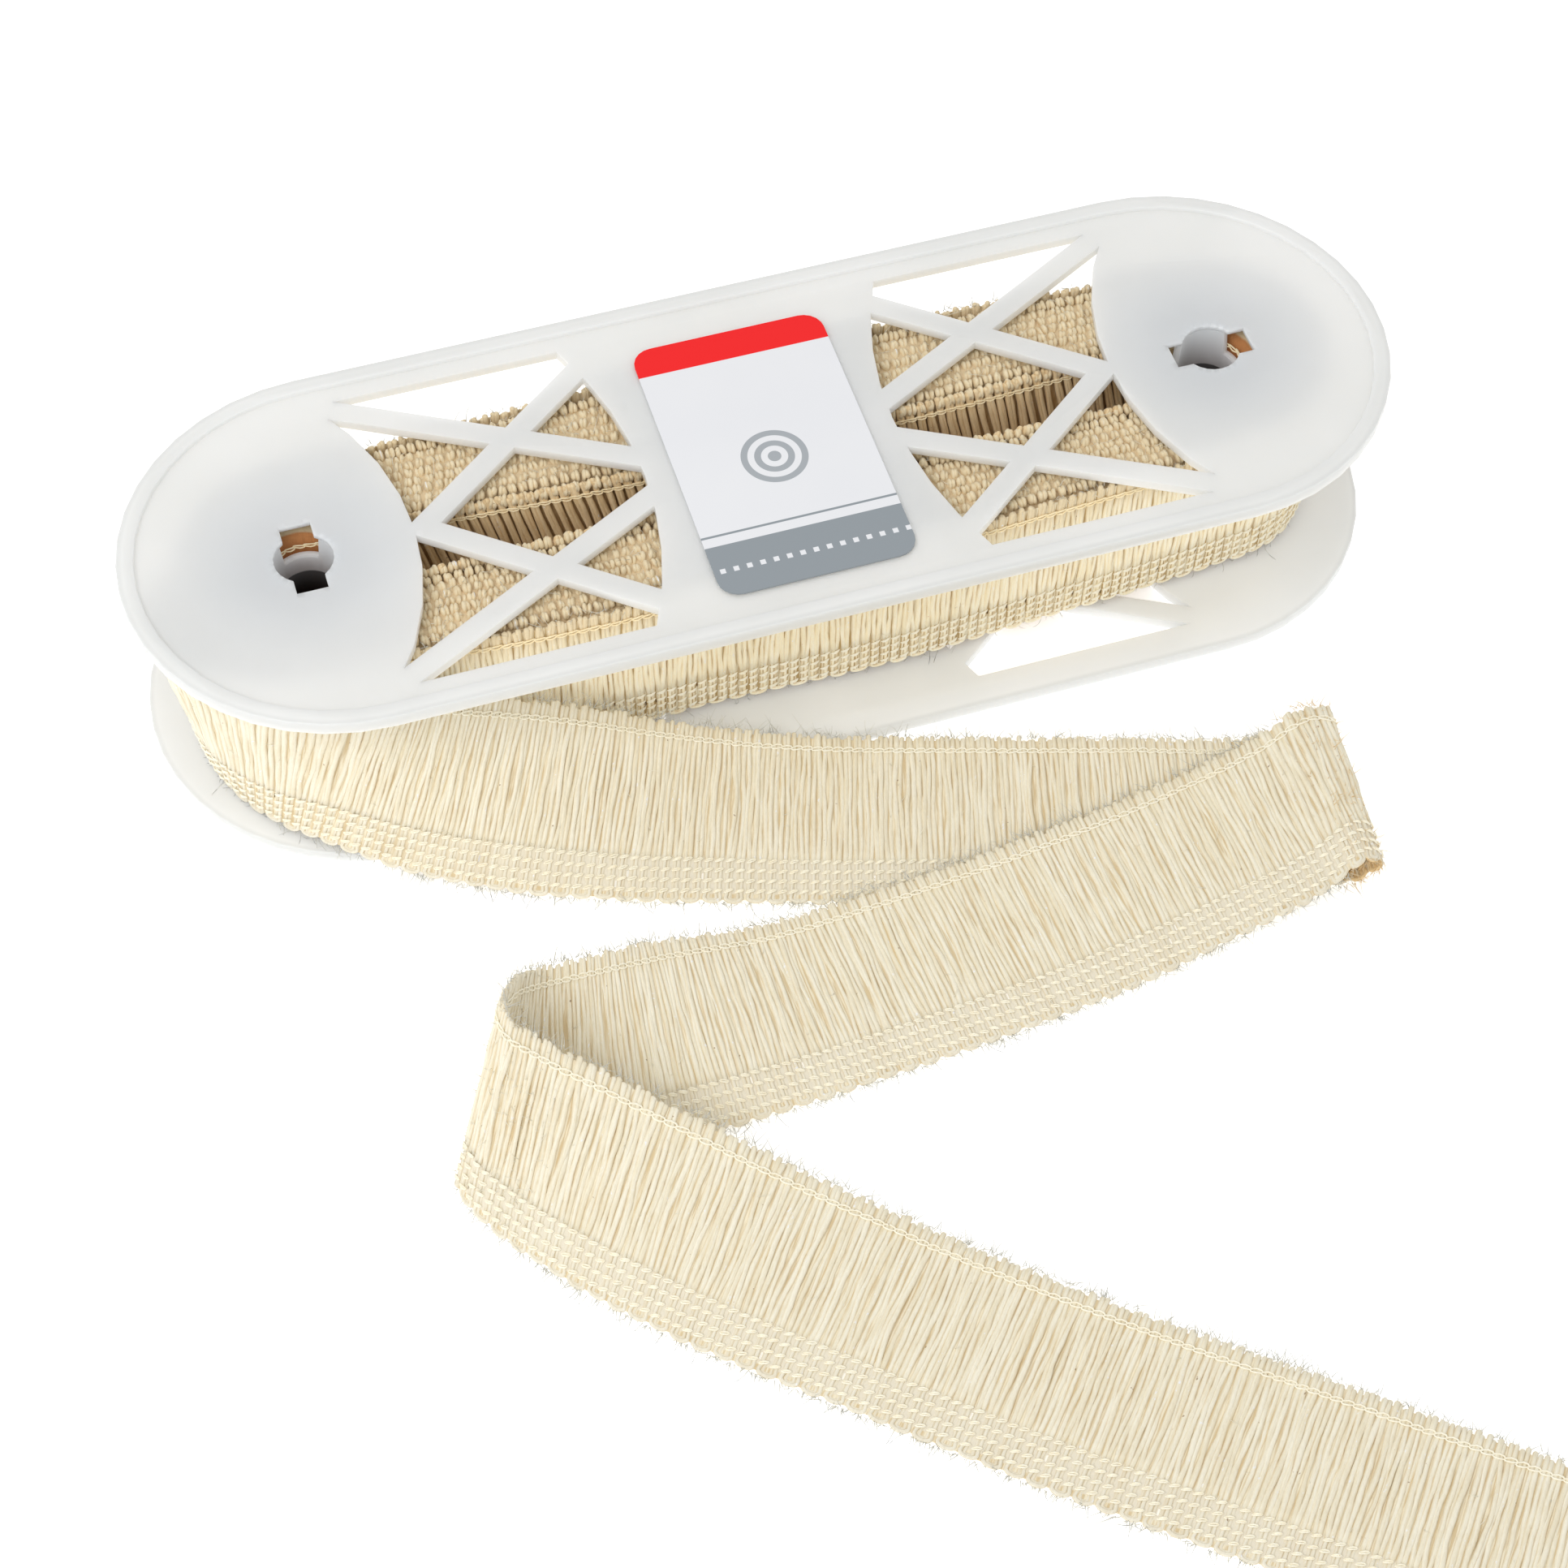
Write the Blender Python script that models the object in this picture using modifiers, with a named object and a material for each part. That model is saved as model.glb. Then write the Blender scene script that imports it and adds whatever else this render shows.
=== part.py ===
"""Fringe trim wound on a flat two-post spool, with its loose end laid in folds in front of it.

Blender 4.5, metres, +Z up. The origin is the middle of the spool's underside, +X runs along the
spool and the loose end lies on the -Y side. Sizes below are in millimetres.
"""

import math

import bmesh
import bpy
import numpy as np
from mathutils import Vector

MM = 0.001
GAP = 0.3

# Spool: two flanges on two tubular posts
END_RADIUS = 42.0
END_CENTRE = 83.4
SPOOL_HEIGHT = 44.5
LOWER_THICK = 2.6
UPPER_THICK = 2.0
RIM_PROUD = 0.9
RIM_WIDTH = 3.3
RIM_BELOW = 0.1
EDGE_ROUND = 0.8
ARC_STEPS = 20
CORNER_STEPS = 5

# Posts, and the notched holes in the flanges over them
POST_X = 91.0
BORE_RADIUS = 5.7
POST_RADIUS = 7.2
NOTCH_REACH = 8.6
NOTCH_WIDTH = 6.0

# Lattice windows, given for the half x > 0 and the quarter y > 0
WINDOW_HALF_HEIGHT = 35.2
END_ARC = {"centre": 127.0, "radius": 57.3}
MIDDLE_ARC = {"centre": 107.3, "radius": 82.5}
BRACE_WIDTH = 4.45
LONG_BRACE = ((75.6, 31.8), (24.8, 4.9))
SHORT_BRACE = ((66.2, 1.6), (29.0, 30.5))

# Sticker on the upper flange
STICKER_WIDTH = 38.6
STICKER_LENGTH = 63.3
STICKER_CORNER = 4.1
STICKER_THICK = 0.35
STICKER_Y = -1.5

# Trim: a knitted heading, yarn fringe from it, and the winding
TRIM_WIDTH = 37.8
CLOTH = 1.5
HEADING_WIDTH = 9.2
SCALLOP_PITCH = 4.1
SCALLOP_DEPTH = 0.9
ROOT_WIDTH = 1.6
LOCK_PITCH = 2.6
LOCK_SHARE = 0.8
LOCK_UNEVEN = 0.7
LOCKS_PER_WAVE = 3.3

WOUND_OUTER = {"left": 24.6, "middle": 28.3, "right": 23.6}
WOUND_INNER = {"left": 7.5, "middle": 4.4, "right": 7.5}
WOUND_SAG = 1.3
WOUND_WAVE = {"depth": 0.35, "length": 69.0}
WOUND_RIDGES = 5
WOUND_RIDGE_DEPTH = 1.3
WOUND_RIDGE_STEP = 0.35
WOUND_SIDE_STEPS = 10
WOUND_END_STEPS = 14

LOWER_TOP = LOWER_THICK
UPPER_TOP = SPOOL_HEIGHT - RIM_PROUD
UPPER_BOTTOM = UPPER_TOP - UPPER_THICK
ON_FLANGE = LOWER_TOP + GAP

# The loose end, a row for each place where its course turns. x, y: the heading's free edge.
# under: what the edge lies on. heads: the plan direction of the strands, in degrees.
# leans: their rise above level, in degrees. part: the stretch that the row begins.
COURSE_COLUMNS = ("x", "y", "under", "heads", "leans", "part")
COURSE = (
    (-116.7, 4.0, ON_FLANGE, 180.0, 87.0, "leaving"),
    (-116.6, -6.0, ON_FLANGE, 185.0, 82.0, "leaving"),
    (-114.9, -16.2, ON_FLANGE, 190.0, 85.0, "leaving"),
    (-108.8, -27.4, ON_FLANGE, 15.0, 83.0, "leaving"),
    (-98.8, -38.1, 3.6, 28.0, 64.0, "leaving"),
    (-85.3, -47.3, 0.9, 48.0, 51.0, "lying_back"),
    (-68.0, -56.7, 0.0, 60.0, 35.5, "turning_down"),
    (-50.0, -64.3, 0.0, 66.0, 19.5, "settling"),
    (-30.0, -70.9, 0.0, 70.0, 9.0, "settling"),
    (-10.0, -77.2, 0.0, 72.0, 5.0, "first_pass"),
    (12.0, -83.4, 0.0, 73.0, 3.0, "first_pass"),
    (45.0, -92.6, 0.0, 75.0, 1.0, "first_pass"),
    (76.0, -100.6, 0.0, 80.0, 0.0, "right_fold"),
    (87.5, -101.3, 0.6, 83.0, 0.5, "right_fold"),
    (90.8, -100.8, 3.0, 83.5, 1.0, "right_fold"),
    (88.5, -100.7, 5.4, 86.0, 0.5, "right_fold"),
    (78.0, -104.0, 4.2, 90.5, 0.5, "second_pass"),
    (60.0, -107.3, 2.2, 92.5, 1.0, "second_pass"),
    (30.0, -112.0, 0.5, 95.0, 4.5, "second_pass"),
    (0.0, -114.7, 0.0, 95.0, 5.0, "second_pass"),
    (-28.0, -116.5, 0.0, 92.0, 8.0, "second_pass"),
    (-48.0, -117.2, 0.0, 88.0, 21.0, "left_fold"),
    (-66.0, -116.6, 0.0, 78.5, 30.0, "left_fold"),
    (-82.0, -115.0, 0.3, 68.5, 32.0, "left_turn"),
    (-90.5, -113.9, 1.8, 57.0, 41.5, "left_turn"),
    (-93.7, -115.4, 4.0, 50.5, 49.5, "left_turn"),
    (-93.1, -119.4, 4.0, 51.5, 51.0, "left_turn"),
    (-89.0, -126.4, 2.4, 54.5, 45.0, "left_return"),
    (-79.7, -138.1, 0.4, 54.0, 31.0, "left_return"),
    (-65.9, -152.6, 0.0, 51.5, 16.5, "third_pass"),
    (-42.7, -173.0, 0.0, 49.0, 4.5, "third_pass"),
    (-13.9, -197.8, 0.0, 49.0, 2.0, "third_pass"),
    (22.9, -227.0, 0.0, 50.0, 0.5, "third_pass"),
    (61.0, -257.4, 0.0, 51.0, 0.0, "third_pass"),
)

COLOURS = {
    "spool": (0.86, 0.88, 0.87),
    "sticker": (0.9, 0.9, 0.91),
    "yarn": (0.86, 0.8, 0.68),
    "heading": (0.88, 0.82, 0.7),
}
ROUGHNESS = {"spool": 0.35, "sticker": 0.3, "yarn": 0.9, "heading": 0.9}


def clear_scene():
    for old in list(bpy.data.objects):
        bpy.data.objects.remove(old, do_unlink=True)


def material(name):
    mat = bpy.data.materials.new(name)
    mat.use_nodes = True
    shader = mat.node_tree.nodes["Principled BSDF"]
    shader.inputs["Base Color"].default_value = (*COLOURS[name], 1.0)
    shader.inputs["Roughness"].default_value = ROUGHNESS[name]
    shader.inputs["Metallic"].default_value = 0.0
    return mat


def add_object(name, mesh, mat, collection):
    mesh.materials.clear()
    mesh.materials.append(mat)
    for face in mesh.polygons:
        face.material_index = 0
    obj = bpy.data.objects.new(name, mesh)
    collection.objects.link(obj)
    return obj


# Flat outlines, as lists of (x, y) in millimetres


def arc(cx, cy, radius, start, end, steps):
    """Points on an arc from one angle to another, in degrees, both ends included."""
    angles = [math.radians(start + (end - start) * k / steps) for k in range(steps + 1)]
    return [(cx + radius * math.cos(a), cy + radius * math.sin(a)) for a in angles]


def stadium(radius):
    right = arc(END_CENTRE, 0.0, radius, -90, 90, ARC_STEPS)
    left = arc(-END_CENTRE, 0.0, radius, 90, 270, ARC_STEPS)
    return right + left


def rounded_rectangle(width, length, corner, cy):
    x, y = width / 2 - corner, length / 2 - corner
    corners = ((x, y, 0), (-x, y, 90), (-x, -y, 180), (x, -y, 270))
    return [p for cx, dy, a in corners for p in arc(cx, cy + dy, corner, a, a + 90, CORNER_STEPS)]


def notched_hole(cx, first_angle):
    """A round hole with two square notches on opposite sides."""
    half = NOTCH_WIDTH / 2
    side = math.degrees(math.asin(half / BORE_RADIUS))
    points = []
    for turn in (0, 180):
        a = first_angle + turn
        out = Vector((math.cos(math.radians(a)), math.sin(math.radians(a))))
        across = Vector((-out.y, out.x))
        for step in (-half, half):
            corner = out * math.sqrt(NOTCH_REACH**2 - half**2) + across * step
            points.append((cx + corner.x, corner.y))
        points += arc(cx, 0.0, BORE_RADIUS, a + side, a + 180 - side, 8)
    return points


def window_outline():
    """One lattice window, between the end disc and the middle panel, for x > 0."""

    def at(curve, y):
        return curve["centre"] - math.sqrt(curve["radius"] ** 2 - y * y)

    steps = 8
    ys = [WINDOW_HALF_HEIGHT * (2 * k / steps - 1) for k in range(steps + 1)]
    middle = [(at(MIDDLE_ARC, y), y) for y in ys]
    end = [(at(END_ARC, y), y) for y in reversed(ys)]
    return end + middle


def clipped(points, line, side, margin):
    """The part of an outline that lies above (side 1) or below (side -1) a brace."""
    (x0, y0), (x1, y1) = line
    normal = Vector((y0 - y1, x1 - x0)).normalized()
    if normal.y < 0:
        normal = -normal
    normal *= side
    reach = [normal.dot(Vector((x - x0, y - y0))) - margin for x, y in points]
    kept = []
    for k, point in enumerate(points):
        before, d0, d1 = points[k - 1], reach[k - 1], reach[k]
        if (d0 < 0) != (d1 < 0):
            t = d0 / (d0 - d1)
            kept.append(tuple(a + (b - a) * t for a, b in zip(before, point)))
        if d1 >= 0:
            kept.append(point)
    return kept


def mirrored_line(line):
    return tuple((x, -y) for x, y in line)


def window_gaps():
    """The seven gaps that two crossed pairs of braces leave in a window."""
    half = BRACE_WIDTH / 2
    upper = {"long": LONG_BRACE, "short": SHORT_BRACE}
    lower = {name: mirrored_line(line) for name, line in upper.items()}
    outline = window_outline()
    gaps = []
    for long_side, short_side in ((1, 1), (-1, 1), (1, -1)):
        gap = clipped(outline, upper["long"], long_side, half)
        gap = clipped(gap, upper["short"], short_side, half)
        gaps.append(gap)
        gaps.append([(x, -y) for x, y in gap])
    diamond = outline
    for braces, side in ((upper, -1), (lower, 1)):
        for line in braces.values():
            diamond = clipped(diamond, line, side, half)
    gaps.append(diamond)
    return gaps


# Solids


def plate(loops, low, high):
    """A flat plate: the first loop is its outline and the others are holes."""
    curve = bpy.data.curves.new("outline", "CURVE")
    curve.dimensions = "2D"
    curve.fill_mode = "BOTH"
    curve.extrude = (high - low) / 2 * MM
    for loop in loops:
        spline = curve.splines.new("POLY")
        spline.points.add(len(loop) - 1)
        for point, (x, y) in zip(spline.points, loop):
            point.co = (x * MM, y * MM, 0.0, 1.0)
        spline.use_cyclic_u = True
    guide = bpy.data.objects.new("outline", curve)
    bpy.context.scene.collection.objects.link(guide)
    guide.location.z = (low + high) / 2 * MM
    graph = bpy.context.evaluated_depsgraph_get()
    mesh = bpy.data.meshes.new_from_object(guide.evaluated_get(graph))
    mesh.transform(guide.matrix_world)
    bpy.data.objects.remove(guide)
    bpy.data.curves.remove(curve)
    body = bmesh.new()
    body.from_mesh(mesh)
    bmesh.ops.remove_doubles(body, verts=body.verts, dist=1e-6)
    bmesh.ops.recalc_face_normals(body, faces=body.faces)
    body.to_mesh(mesh)
    body.free()
    return mesh


def round_edges(obj, width):
    bevel = obj.modifiers.new("rounded edge", "BEVEL")
    bevel.width = width * MM
    bevel.segments = 2
    bevel.limit_method = "ANGLE"
    bevel.angle_limit = math.radians(60)


def flange_loops(outer, first_notch):
    loops = [stadium(outer)]
    for side in (-1, 1):
        loops += [[(side * x, y) for x, y in gap] for gap in window_gaps()]
        loops.append(notched_hole(side * POST_X, first_notch if side < 0 else first_notch + 90))
    return loops


def lower_flange(mat, parts):
    mesh = plate(flange_loops(END_RADIUS, 90), 0.0, LOWER_TOP)
    return add_object("flange_lower", mesh, mat, parts)


def upper_flange(mat, parts, tools):
    """The plate with a rounded rim that stands a little proud of it."""
    web = plate(flange_loops(END_RADIUS - RIM_WIDTH / 2, 90), UPPER_BOTTOM, UPPER_TOP)
    flange = add_object("flange_upper", web, mat, parts)
    ring = plate(
        [stadium(END_RADIUS), stadium(END_RADIUS - RIM_WIDTH)],
        UPPER_BOTTOM - RIM_BELOW,
        SPOOL_HEIGHT,
    )
    rim = add_object("rim_tool", ring, mat, tools)
    round_edges(rim, EDGE_ROUND)
    rim.hide_render = True
    rim.display_type = "WIRE"
    join = flange.modifiers.new("rim", "BOOLEAN")
    join.operation = "UNION"
    join.object = rim
    return flange


def post(side, mat, parts):
    """A tube between the flanges, as a turned profile."""
    name = "post_left" if side < 0 else "post_right"
    low, high = ON_FLANGE, UPPER_BOTTOM - GAP
    profile = (
        (POST_RADIUS, high),
        (POST_RADIUS, low),
        (BORE_RADIUS, low),
        (BORE_RADIUS, high),
    )
    mesh = bpy.data.meshes.new(name)
    points = [(r * MM, 0.0, z * MM) for r, z in profile]
    mesh.from_pydata(points, [(k, (k + 1) % 4) for k in range(4)], [])
    obj = add_object(name, mesh, mat, parts)
    obj.location.x = side * POST_X * MM
    turn = obj.modifiers.new("turned", "SCREW")
    turn.steps = turn.render_steps = 28
    turn.use_merge_vertices = True
    turn.merge_threshold = 1e-6
    turn.use_smooth_shade = False
    return obj


def sticker(mat, parts):
    low = UPPER_TOP + GAP
    outline = rounded_rectangle(STICKER_WIDTH, STICKER_LENGTH, STICKER_CORNER, STICKER_Y)
    mesh = plate([outline], low, low + STICKER_THICK)
    return add_object("sticker", mesh, mat, parts)


# The winding


def winding_stations():
    """Directions round the two posts: (centre x, straight x or None, angle in degrees)."""
    xs = [POST_X * (2 * k / WOUND_SIDE_STEPS - 1) for k in range(1, WOUND_SIDE_STEPS)]
    angles = [180 * k / WOUND_END_STEPS - 90 for k in range(WOUND_END_STEPS + 1)]
    stations = [("side", x, -1) for x in xs]
    stations += [("end", POST_X, a) for a in angles]
    stations += [("side", x, 1) for x in reversed(xs)]
    stations += [("end", -POST_X, a + 180) for a in angles]
    return stations


def winding_point(station, sizes, inner):
    """A point on the winding's inner or outer wall."""
    kind, x, way = station
    at_post = sizes["right"] if x > 0 else sizes["left"]
    if kind == "end":
        a = math.radians(way)
        return Vector((x + at_post * math.cos(a), at_post * math.sin(a)))
    middle = 1 - (x / POST_X) ** 2
    half = at_post + (sizes["middle"] - at_post) * middle
    if inner:
        return Vector((x, way * half - WOUND_SAG * middle))
    wave = WOUND_WAVE["depth"] * math.sin(math.tau * x / WOUND_WAVE["length"]) * middle
    return Vector((x, way * half - wave))


def winding(mat, parts):
    """All turns as one ring, with a ridged top where the fringe's ends come up."""
    top = UPPER_BOTTOM - GAP
    section = [(0.0, ON_FLANGE), (0.0, top - WOUND_RIDGE_DEPTH)]
    for ridge in range(WOUND_RIDGES):
        share = (ridge + 0.5) / WOUND_RIDGES
        section.append((share, top - WOUND_RIDGE_STEP * (ridge % 2)))
        if ridge < WOUND_RIDGES - 1:
            section.append(((ridge + 1) / WOUND_RIDGES, top - WOUND_RIDGE_DEPTH))
    section += [(1.0, top - WOUND_RIDGE_DEPTH), (1.0, ON_FLANGE)]
    body = bmesh.new()
    rings = []
    for station in winding_stations():
        inner = winding_point(station, WOUND_INNER, True)
        outer = winding_point(station, WOUND_OUTER, False)
        ring = []
        for share, z in section:
            spot = inner.lerp(outer, share)
            ring.append(body.verts.new((spot.x * MM, spot.y * MM, z * MM)))
        rings.append(ring)
    count = len(section)
    for k, ring in enumerate(rings):
        after = rings[(k + 1) % len(rings)]
        for j in range(count):
            i = (j + 1) % count
            body.faces.new((ring[j], after[j], after[i], ring[i]))
    bmesh.ops.recalc_face_normals(body, faces=body.faces)
    mesh = bpy.data.meshes.new("wound_trim")
    body.to_mesh(mesh)
    body.free()
    return add_object("wound_trim", mesh, mat, parts)


# The loose end


class Course:
    """The smooth surface that the loose end lies in: s along the heading, v across the trim."""

    def __init__(self, rows):
        table = [dict(zip(COURSE_COLUMNS, row)) for row in rows]
        edge, strands = [], []
        for row in table:
            heads, leans = math.radians(row["heads"]), math.radians(row["leans"])
            level = math.cos(leans)
            edge.append((row["x"], row["y"], row["under"] + CLOTH / 2 * level))
            strands.append((level * math.cos(heads), level * math.sin(heads), math.sin(leans)))
        self.values = np.hstack([np.array(edge), np.array(strands)])
        steps = np.linalg.norm(np.diff(self.values[:, :3], axis=0), axis=1)
        self.along = np.concatenate([[0.0], np.cumsum(steps)])
        self.slopes = np.gradient(self.values, self.along, axis=0)
        self.length = float(self.along[-1])
        self.starts = {}
        for row, s in zip(table, self.along):
            self.starts.setdefault(row["part"], float(s))

    def point(self, s, v):
        """The place of a point of the cloth's middle layer, as cubic curves through the rows."""
        k = int(np.clip(np.searchsorted(self.along, s) - 1, 0, len(self.along) - 2))
        span = self.along[k + 1] - self.along[k]
        t = (s - self.along[k]) / span
        a, b = self.values[k], self.values[k + 1]
        m, n = self.slopes[k] * span, self.slopes[k + 1] * span
        at = (2 * t**3 - 3 * t**2 + 1) * a + (t**3 - 2 * t**2 + t) * m
        at = at + (3 * t**2 - 2 * t**3) * b + (t**3 - t**2) * n
        strand = at[3:] / np.linalg.norm(at[3:])
        spot = at[:3] + v * strand
        return Vector((spot[0], spot[1], max(spot[2], CLOTH / 2))) * MM


def cloth(name, course, columns, rows, keep, mat, parts):
    """A thin solid on the course. columns: s values. rows: for each row of points, a function
    that gives v for a column. keep: says whether the face right of a column is there."""
    across, down = len(columns) - 1, len(rows) - 1
    sheet = bmesh.new()
    bmesh.ops.create_grid(sheet, x_segments=across, y_segments=down, size=0.5)
    holes = []
    for face in sheet.faces:
        spot = face.calc_center_median() + Vector((0.5, 0.5, 0.0))
        if not keep(int(spot.x * across), int(spot.y * down)):
            holes.append(face)
    for vert in sheet.verts:
        i = round((vert.co.x + 0.5) * across)
        j = round((vert.co.y + 0.5) * down)
        vert.co = course.point(columns[i], rows[j](i))
    bmesh.ops.delete(sheet, geom=holes, context="FACES")
    mesh = bpy.data.meshes.new(name)
    sheet.to_mesh(mesh)
    sheet.free()
    obj = add_object(name, mesh, mat, parts)
    thick = obj.modifiers.new("thickness", "SOLIDIFY")
    thick.thickness = CLOTH * MM
    thick.offset = 0.0
    return obj


def heading(course, mat, parts):
    """The knitted band, with a scalloped free edge."""
    half = SCALLOP_PITCH / 2
    count = int(course.length / half)
    columns = [k * half for k in range(count + 1)]
    rows = (lambda i: SCALLOP_DEPTH * (i % 2), lambda i: HEADING_WIDTH)
    return cloth("heading", course, columns, rows, lambda i, j: True, mat, parts)


def fringe(course, part, start, end, mat, parts):
    """One stretch of the fringe: locks that stand apart, fused at their roots."""
    count = int((end - start) / LOCK_PITCH)
    pitch = (end - start) / count
    columns = []
    for k in range(count):
        columns += [start + k * pitch, start + (k + LOCK_SHARE) * pitch]
    root = HEADING_WIDTH + GAP

    def tip(i):
        wave = math.sin(math.tau * (i // 2) / LOCKS_PER_WAVE + start)
        return TRIM_WIDTH - LOCK_UNEVEN * (0.5 + 0.5 * wave)

    rows = (lambda i: root, lambda i: root + ROOT_WIDTH, tip)
    return cloth(
        f"fringe_{part}", course, columns, rows, lambda i, j: j == 0 or i % 2 == 0, mat, parts
    )


def build():
    clear_scene()
    parts = bpy.data.collections.new("fringe_trim_on_spool")
    tools = bpy.data.collections.new("cutters")
    for collection in (parts, tools):
        bpy.context.scene.collection.children.link(collection)
    mats = {name: material(name) for name in COLOURS}
    lower_flange(mats["spool"], parts)
    upper_flange(mats["spool"], parts, tools)
    for side in (-1, 1):
        post(side, mats["spool"], parts)
    sticker(mats["sticker"], parts)
    winding(mats["yarn"], parts)
    course = Course(COURSE)
    heading(course, mats["heading"], parts)
    names = list(course.starts)
    ends = [course.starts[name] for name in names[1:]] + [course.length]
    for name, end in zip(names, ends):
        fringe(course, name, course.starts[name], end - GAP, mats["yarn"], parts)


build()
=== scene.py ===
# %% [markdown]
# # A fringe trim on its flat spool
# The real thing is a cream cotton fringe: yarns laid side by side, turned round in small loops along
# one edge, and held there by a few rows of chain stitch. About ten turns of it are wound on a flat
# plastic spool, and the loose end lies in folds in front. This lesson dresses the plain solids that
# the frame holds. The yarns come first, because almost all that the eye meets is yarn.

import math

import bmesh
import bpy
import numpy as np
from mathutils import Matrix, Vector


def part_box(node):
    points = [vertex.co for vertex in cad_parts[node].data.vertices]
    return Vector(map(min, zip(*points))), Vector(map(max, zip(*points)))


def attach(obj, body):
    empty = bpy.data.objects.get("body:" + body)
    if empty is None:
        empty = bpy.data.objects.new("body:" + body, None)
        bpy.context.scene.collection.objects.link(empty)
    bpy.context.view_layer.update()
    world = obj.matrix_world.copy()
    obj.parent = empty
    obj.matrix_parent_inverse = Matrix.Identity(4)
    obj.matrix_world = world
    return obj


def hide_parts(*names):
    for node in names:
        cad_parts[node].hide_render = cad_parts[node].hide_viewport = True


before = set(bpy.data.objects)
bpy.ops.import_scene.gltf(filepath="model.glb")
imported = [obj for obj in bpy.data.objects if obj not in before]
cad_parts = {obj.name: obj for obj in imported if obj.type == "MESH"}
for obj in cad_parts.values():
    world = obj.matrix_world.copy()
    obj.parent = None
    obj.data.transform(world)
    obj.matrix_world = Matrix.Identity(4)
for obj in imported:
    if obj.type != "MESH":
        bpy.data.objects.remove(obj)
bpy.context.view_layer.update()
print("nodes in the frame:", len(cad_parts))

# %% [markdown]
# ## Sizes
# All sizes are in millimetres and are turned into metres only when a mesh is made. The trim is
# 37.8 mm wide. Each small loop of the heading holds two yarns, so four yarns hang from it, and the
# pitch of the loops sets every other spacing.

# %% Sizes of the trim and the spool
MM = 0.001
GAP = 0.3

TRIM_WIDTH = 37.8
CLOTH = 1.5
HEADING_WIDTH = 9.2
LOOP_PITCH = 4.1
LEG = LOOP_PITCH / 4
PAIR = 0.35
LOOP_YARN = 0.84
YARN = 1.12
STITCH_ROWS = (2.6, 4.7, 6.8, 8.9)
SAFETY_ROW = 33.7
TIPS = 36.9

POST_X = 91.0
BORE_RADIUS = 5.7
POST_RADIUS = 7.2
UPPER_TOP = 43.6
ON_FLANGE = 2.9
WOUND_TOP = 41.3
WOUND_OUTER = {"left": 24.6, "middle": 28.3, "right": 23.6}
WOUND_INNER = {"left": 7.5, "middle": 4.4, "right": 7.5}
WOUND_SAG = 1.3
WOUND_WAVE = {"depth": 0.35, "length": 69.0}
TURNS = 10

random = np.random.default_rng(7)

# %% [markdown]
# ## The camera
# The camera stands in front of the spool, to its left, and looks down at about 55 degrees, as the
# photograph does. A long lens keeps the perspective mild. The picture is square.

# %% Set the camera
CAMERA_PLACE = (-122.9, -378.6, 504.6)
CAMERA_TURN = (34.717, -0.744, -17.518)
LENS = 72.69
SENSOR = 36.0

bpy.ops.object.camera_add(
    location=[x * MM for x in CAMERA_PLACE], rotation=[math.radians(a) for a in CAMERA_TURN]
)
camera = bpy.context.object
camera.name = "camera"
camera.data.lens = LENS
camera.data.sensor_width = SENSOR
camera.data.clip_start = 0.01
bpy.context.scene.camera = camera
print("camera set, lens", LENS)

# %% [markdown]
# ## Light and floor
# The photograph is shot in a bright tent: light comes from everywhere. So the world is almost
# white, and one soft lamp above on the left gives the yarns a lit and a shaded side. The floor is
# pale and glows a little, so it burns out to white but still takes a faint shadow.

# %% Build the studio
WORLD_LIGHT = 0.7
FLOOR_SIZE = 4.0
FLOOR_GLOW = 0.42
LAMP = {"place": (-0.54, -0.44, 0.9), "turn": (23, -31, 0), "size": 0.6, "power": 4.6}

bpy.context.scene.view_settings.view_transform = "Standard"
world = bpy.data.worlds.new("bright tent")
bpy.context.scene.world = world
world.use_nodes = True
world.node_tree.nodes["Background"].inputs["Color"].default_value = (1.0, 1.0, 0.99, 1.0)
world.node_tree.nodes["Background"].inputs["Strength"].default_value = WORLD_LIGHT

bpy.ops.object.light_add(
    type="AREA", location=LAMP["place"], rotation=[math.radians(a) for a in LAMP["turn"]]
)
lamp = bpy.context.object
lamp.name = "soft_lamp"
lamp.data.size = LAMP["size"]
lamp.data.energy = LAMP["power"]
print("studio lit by the world and", lamp.name)

# %% [markdown]
# ## Shader maths as plain arithmetic
# A pattern is a sum of simple waves and noises. Written with nodes alone that is hard to read, so
# one small class wraps a socket and lets Python's own operators add the Math nodes. A second class
# is a finish: a material whose nodes all come from one method.

# %% Wrap sockets and materials
class Value:
    """A socket that can be used in plain arithmetic."""

    def __init__(self, finish, socket):
        self.finish = finish
        self.socket = socket

    def maths(self, operation, *others):
        return self.finish.node("ShaderNodeMath", {"operation": operation}, [self, *others])

    def __add__(self, other):
        return self.maths("ADD", other)

    def __sub__(self, other):
        return self.maths("SUBTRACT", other)

    def __mul__(self, other):
        return self.maths("MULTIPLY", other)

    def __pow__(self, other):
        return self.maths("POWER", other)

    def __rsub__(self, other):
        return self.finish.node("ShaderNodeMath", {"operation": "SUBTRACT"}, [other, self])

    def __abs__(self):
        return self.maths("ABSOLUTE")

    __radd__ = __add__

    def sine(self):
        return self.maths("SINE")

    def between(self, low, high):
        """0 at low, 1 at high, and smooth between them."""
        settings = {"interpolation_type": "SMOOTHSTEP"}
        return self.finish.node("ShaderNodeMapRange", settings, [self, low, high, 0.0, 1.0])

    def parts(self):
        """The three numbers of a vector."""
        node = self.finish.node("ShaderNodeSeparateXYZ", {}, [self], whole=True)
        return [Value(self.finish, socket) for socket in node.outputs]


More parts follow.
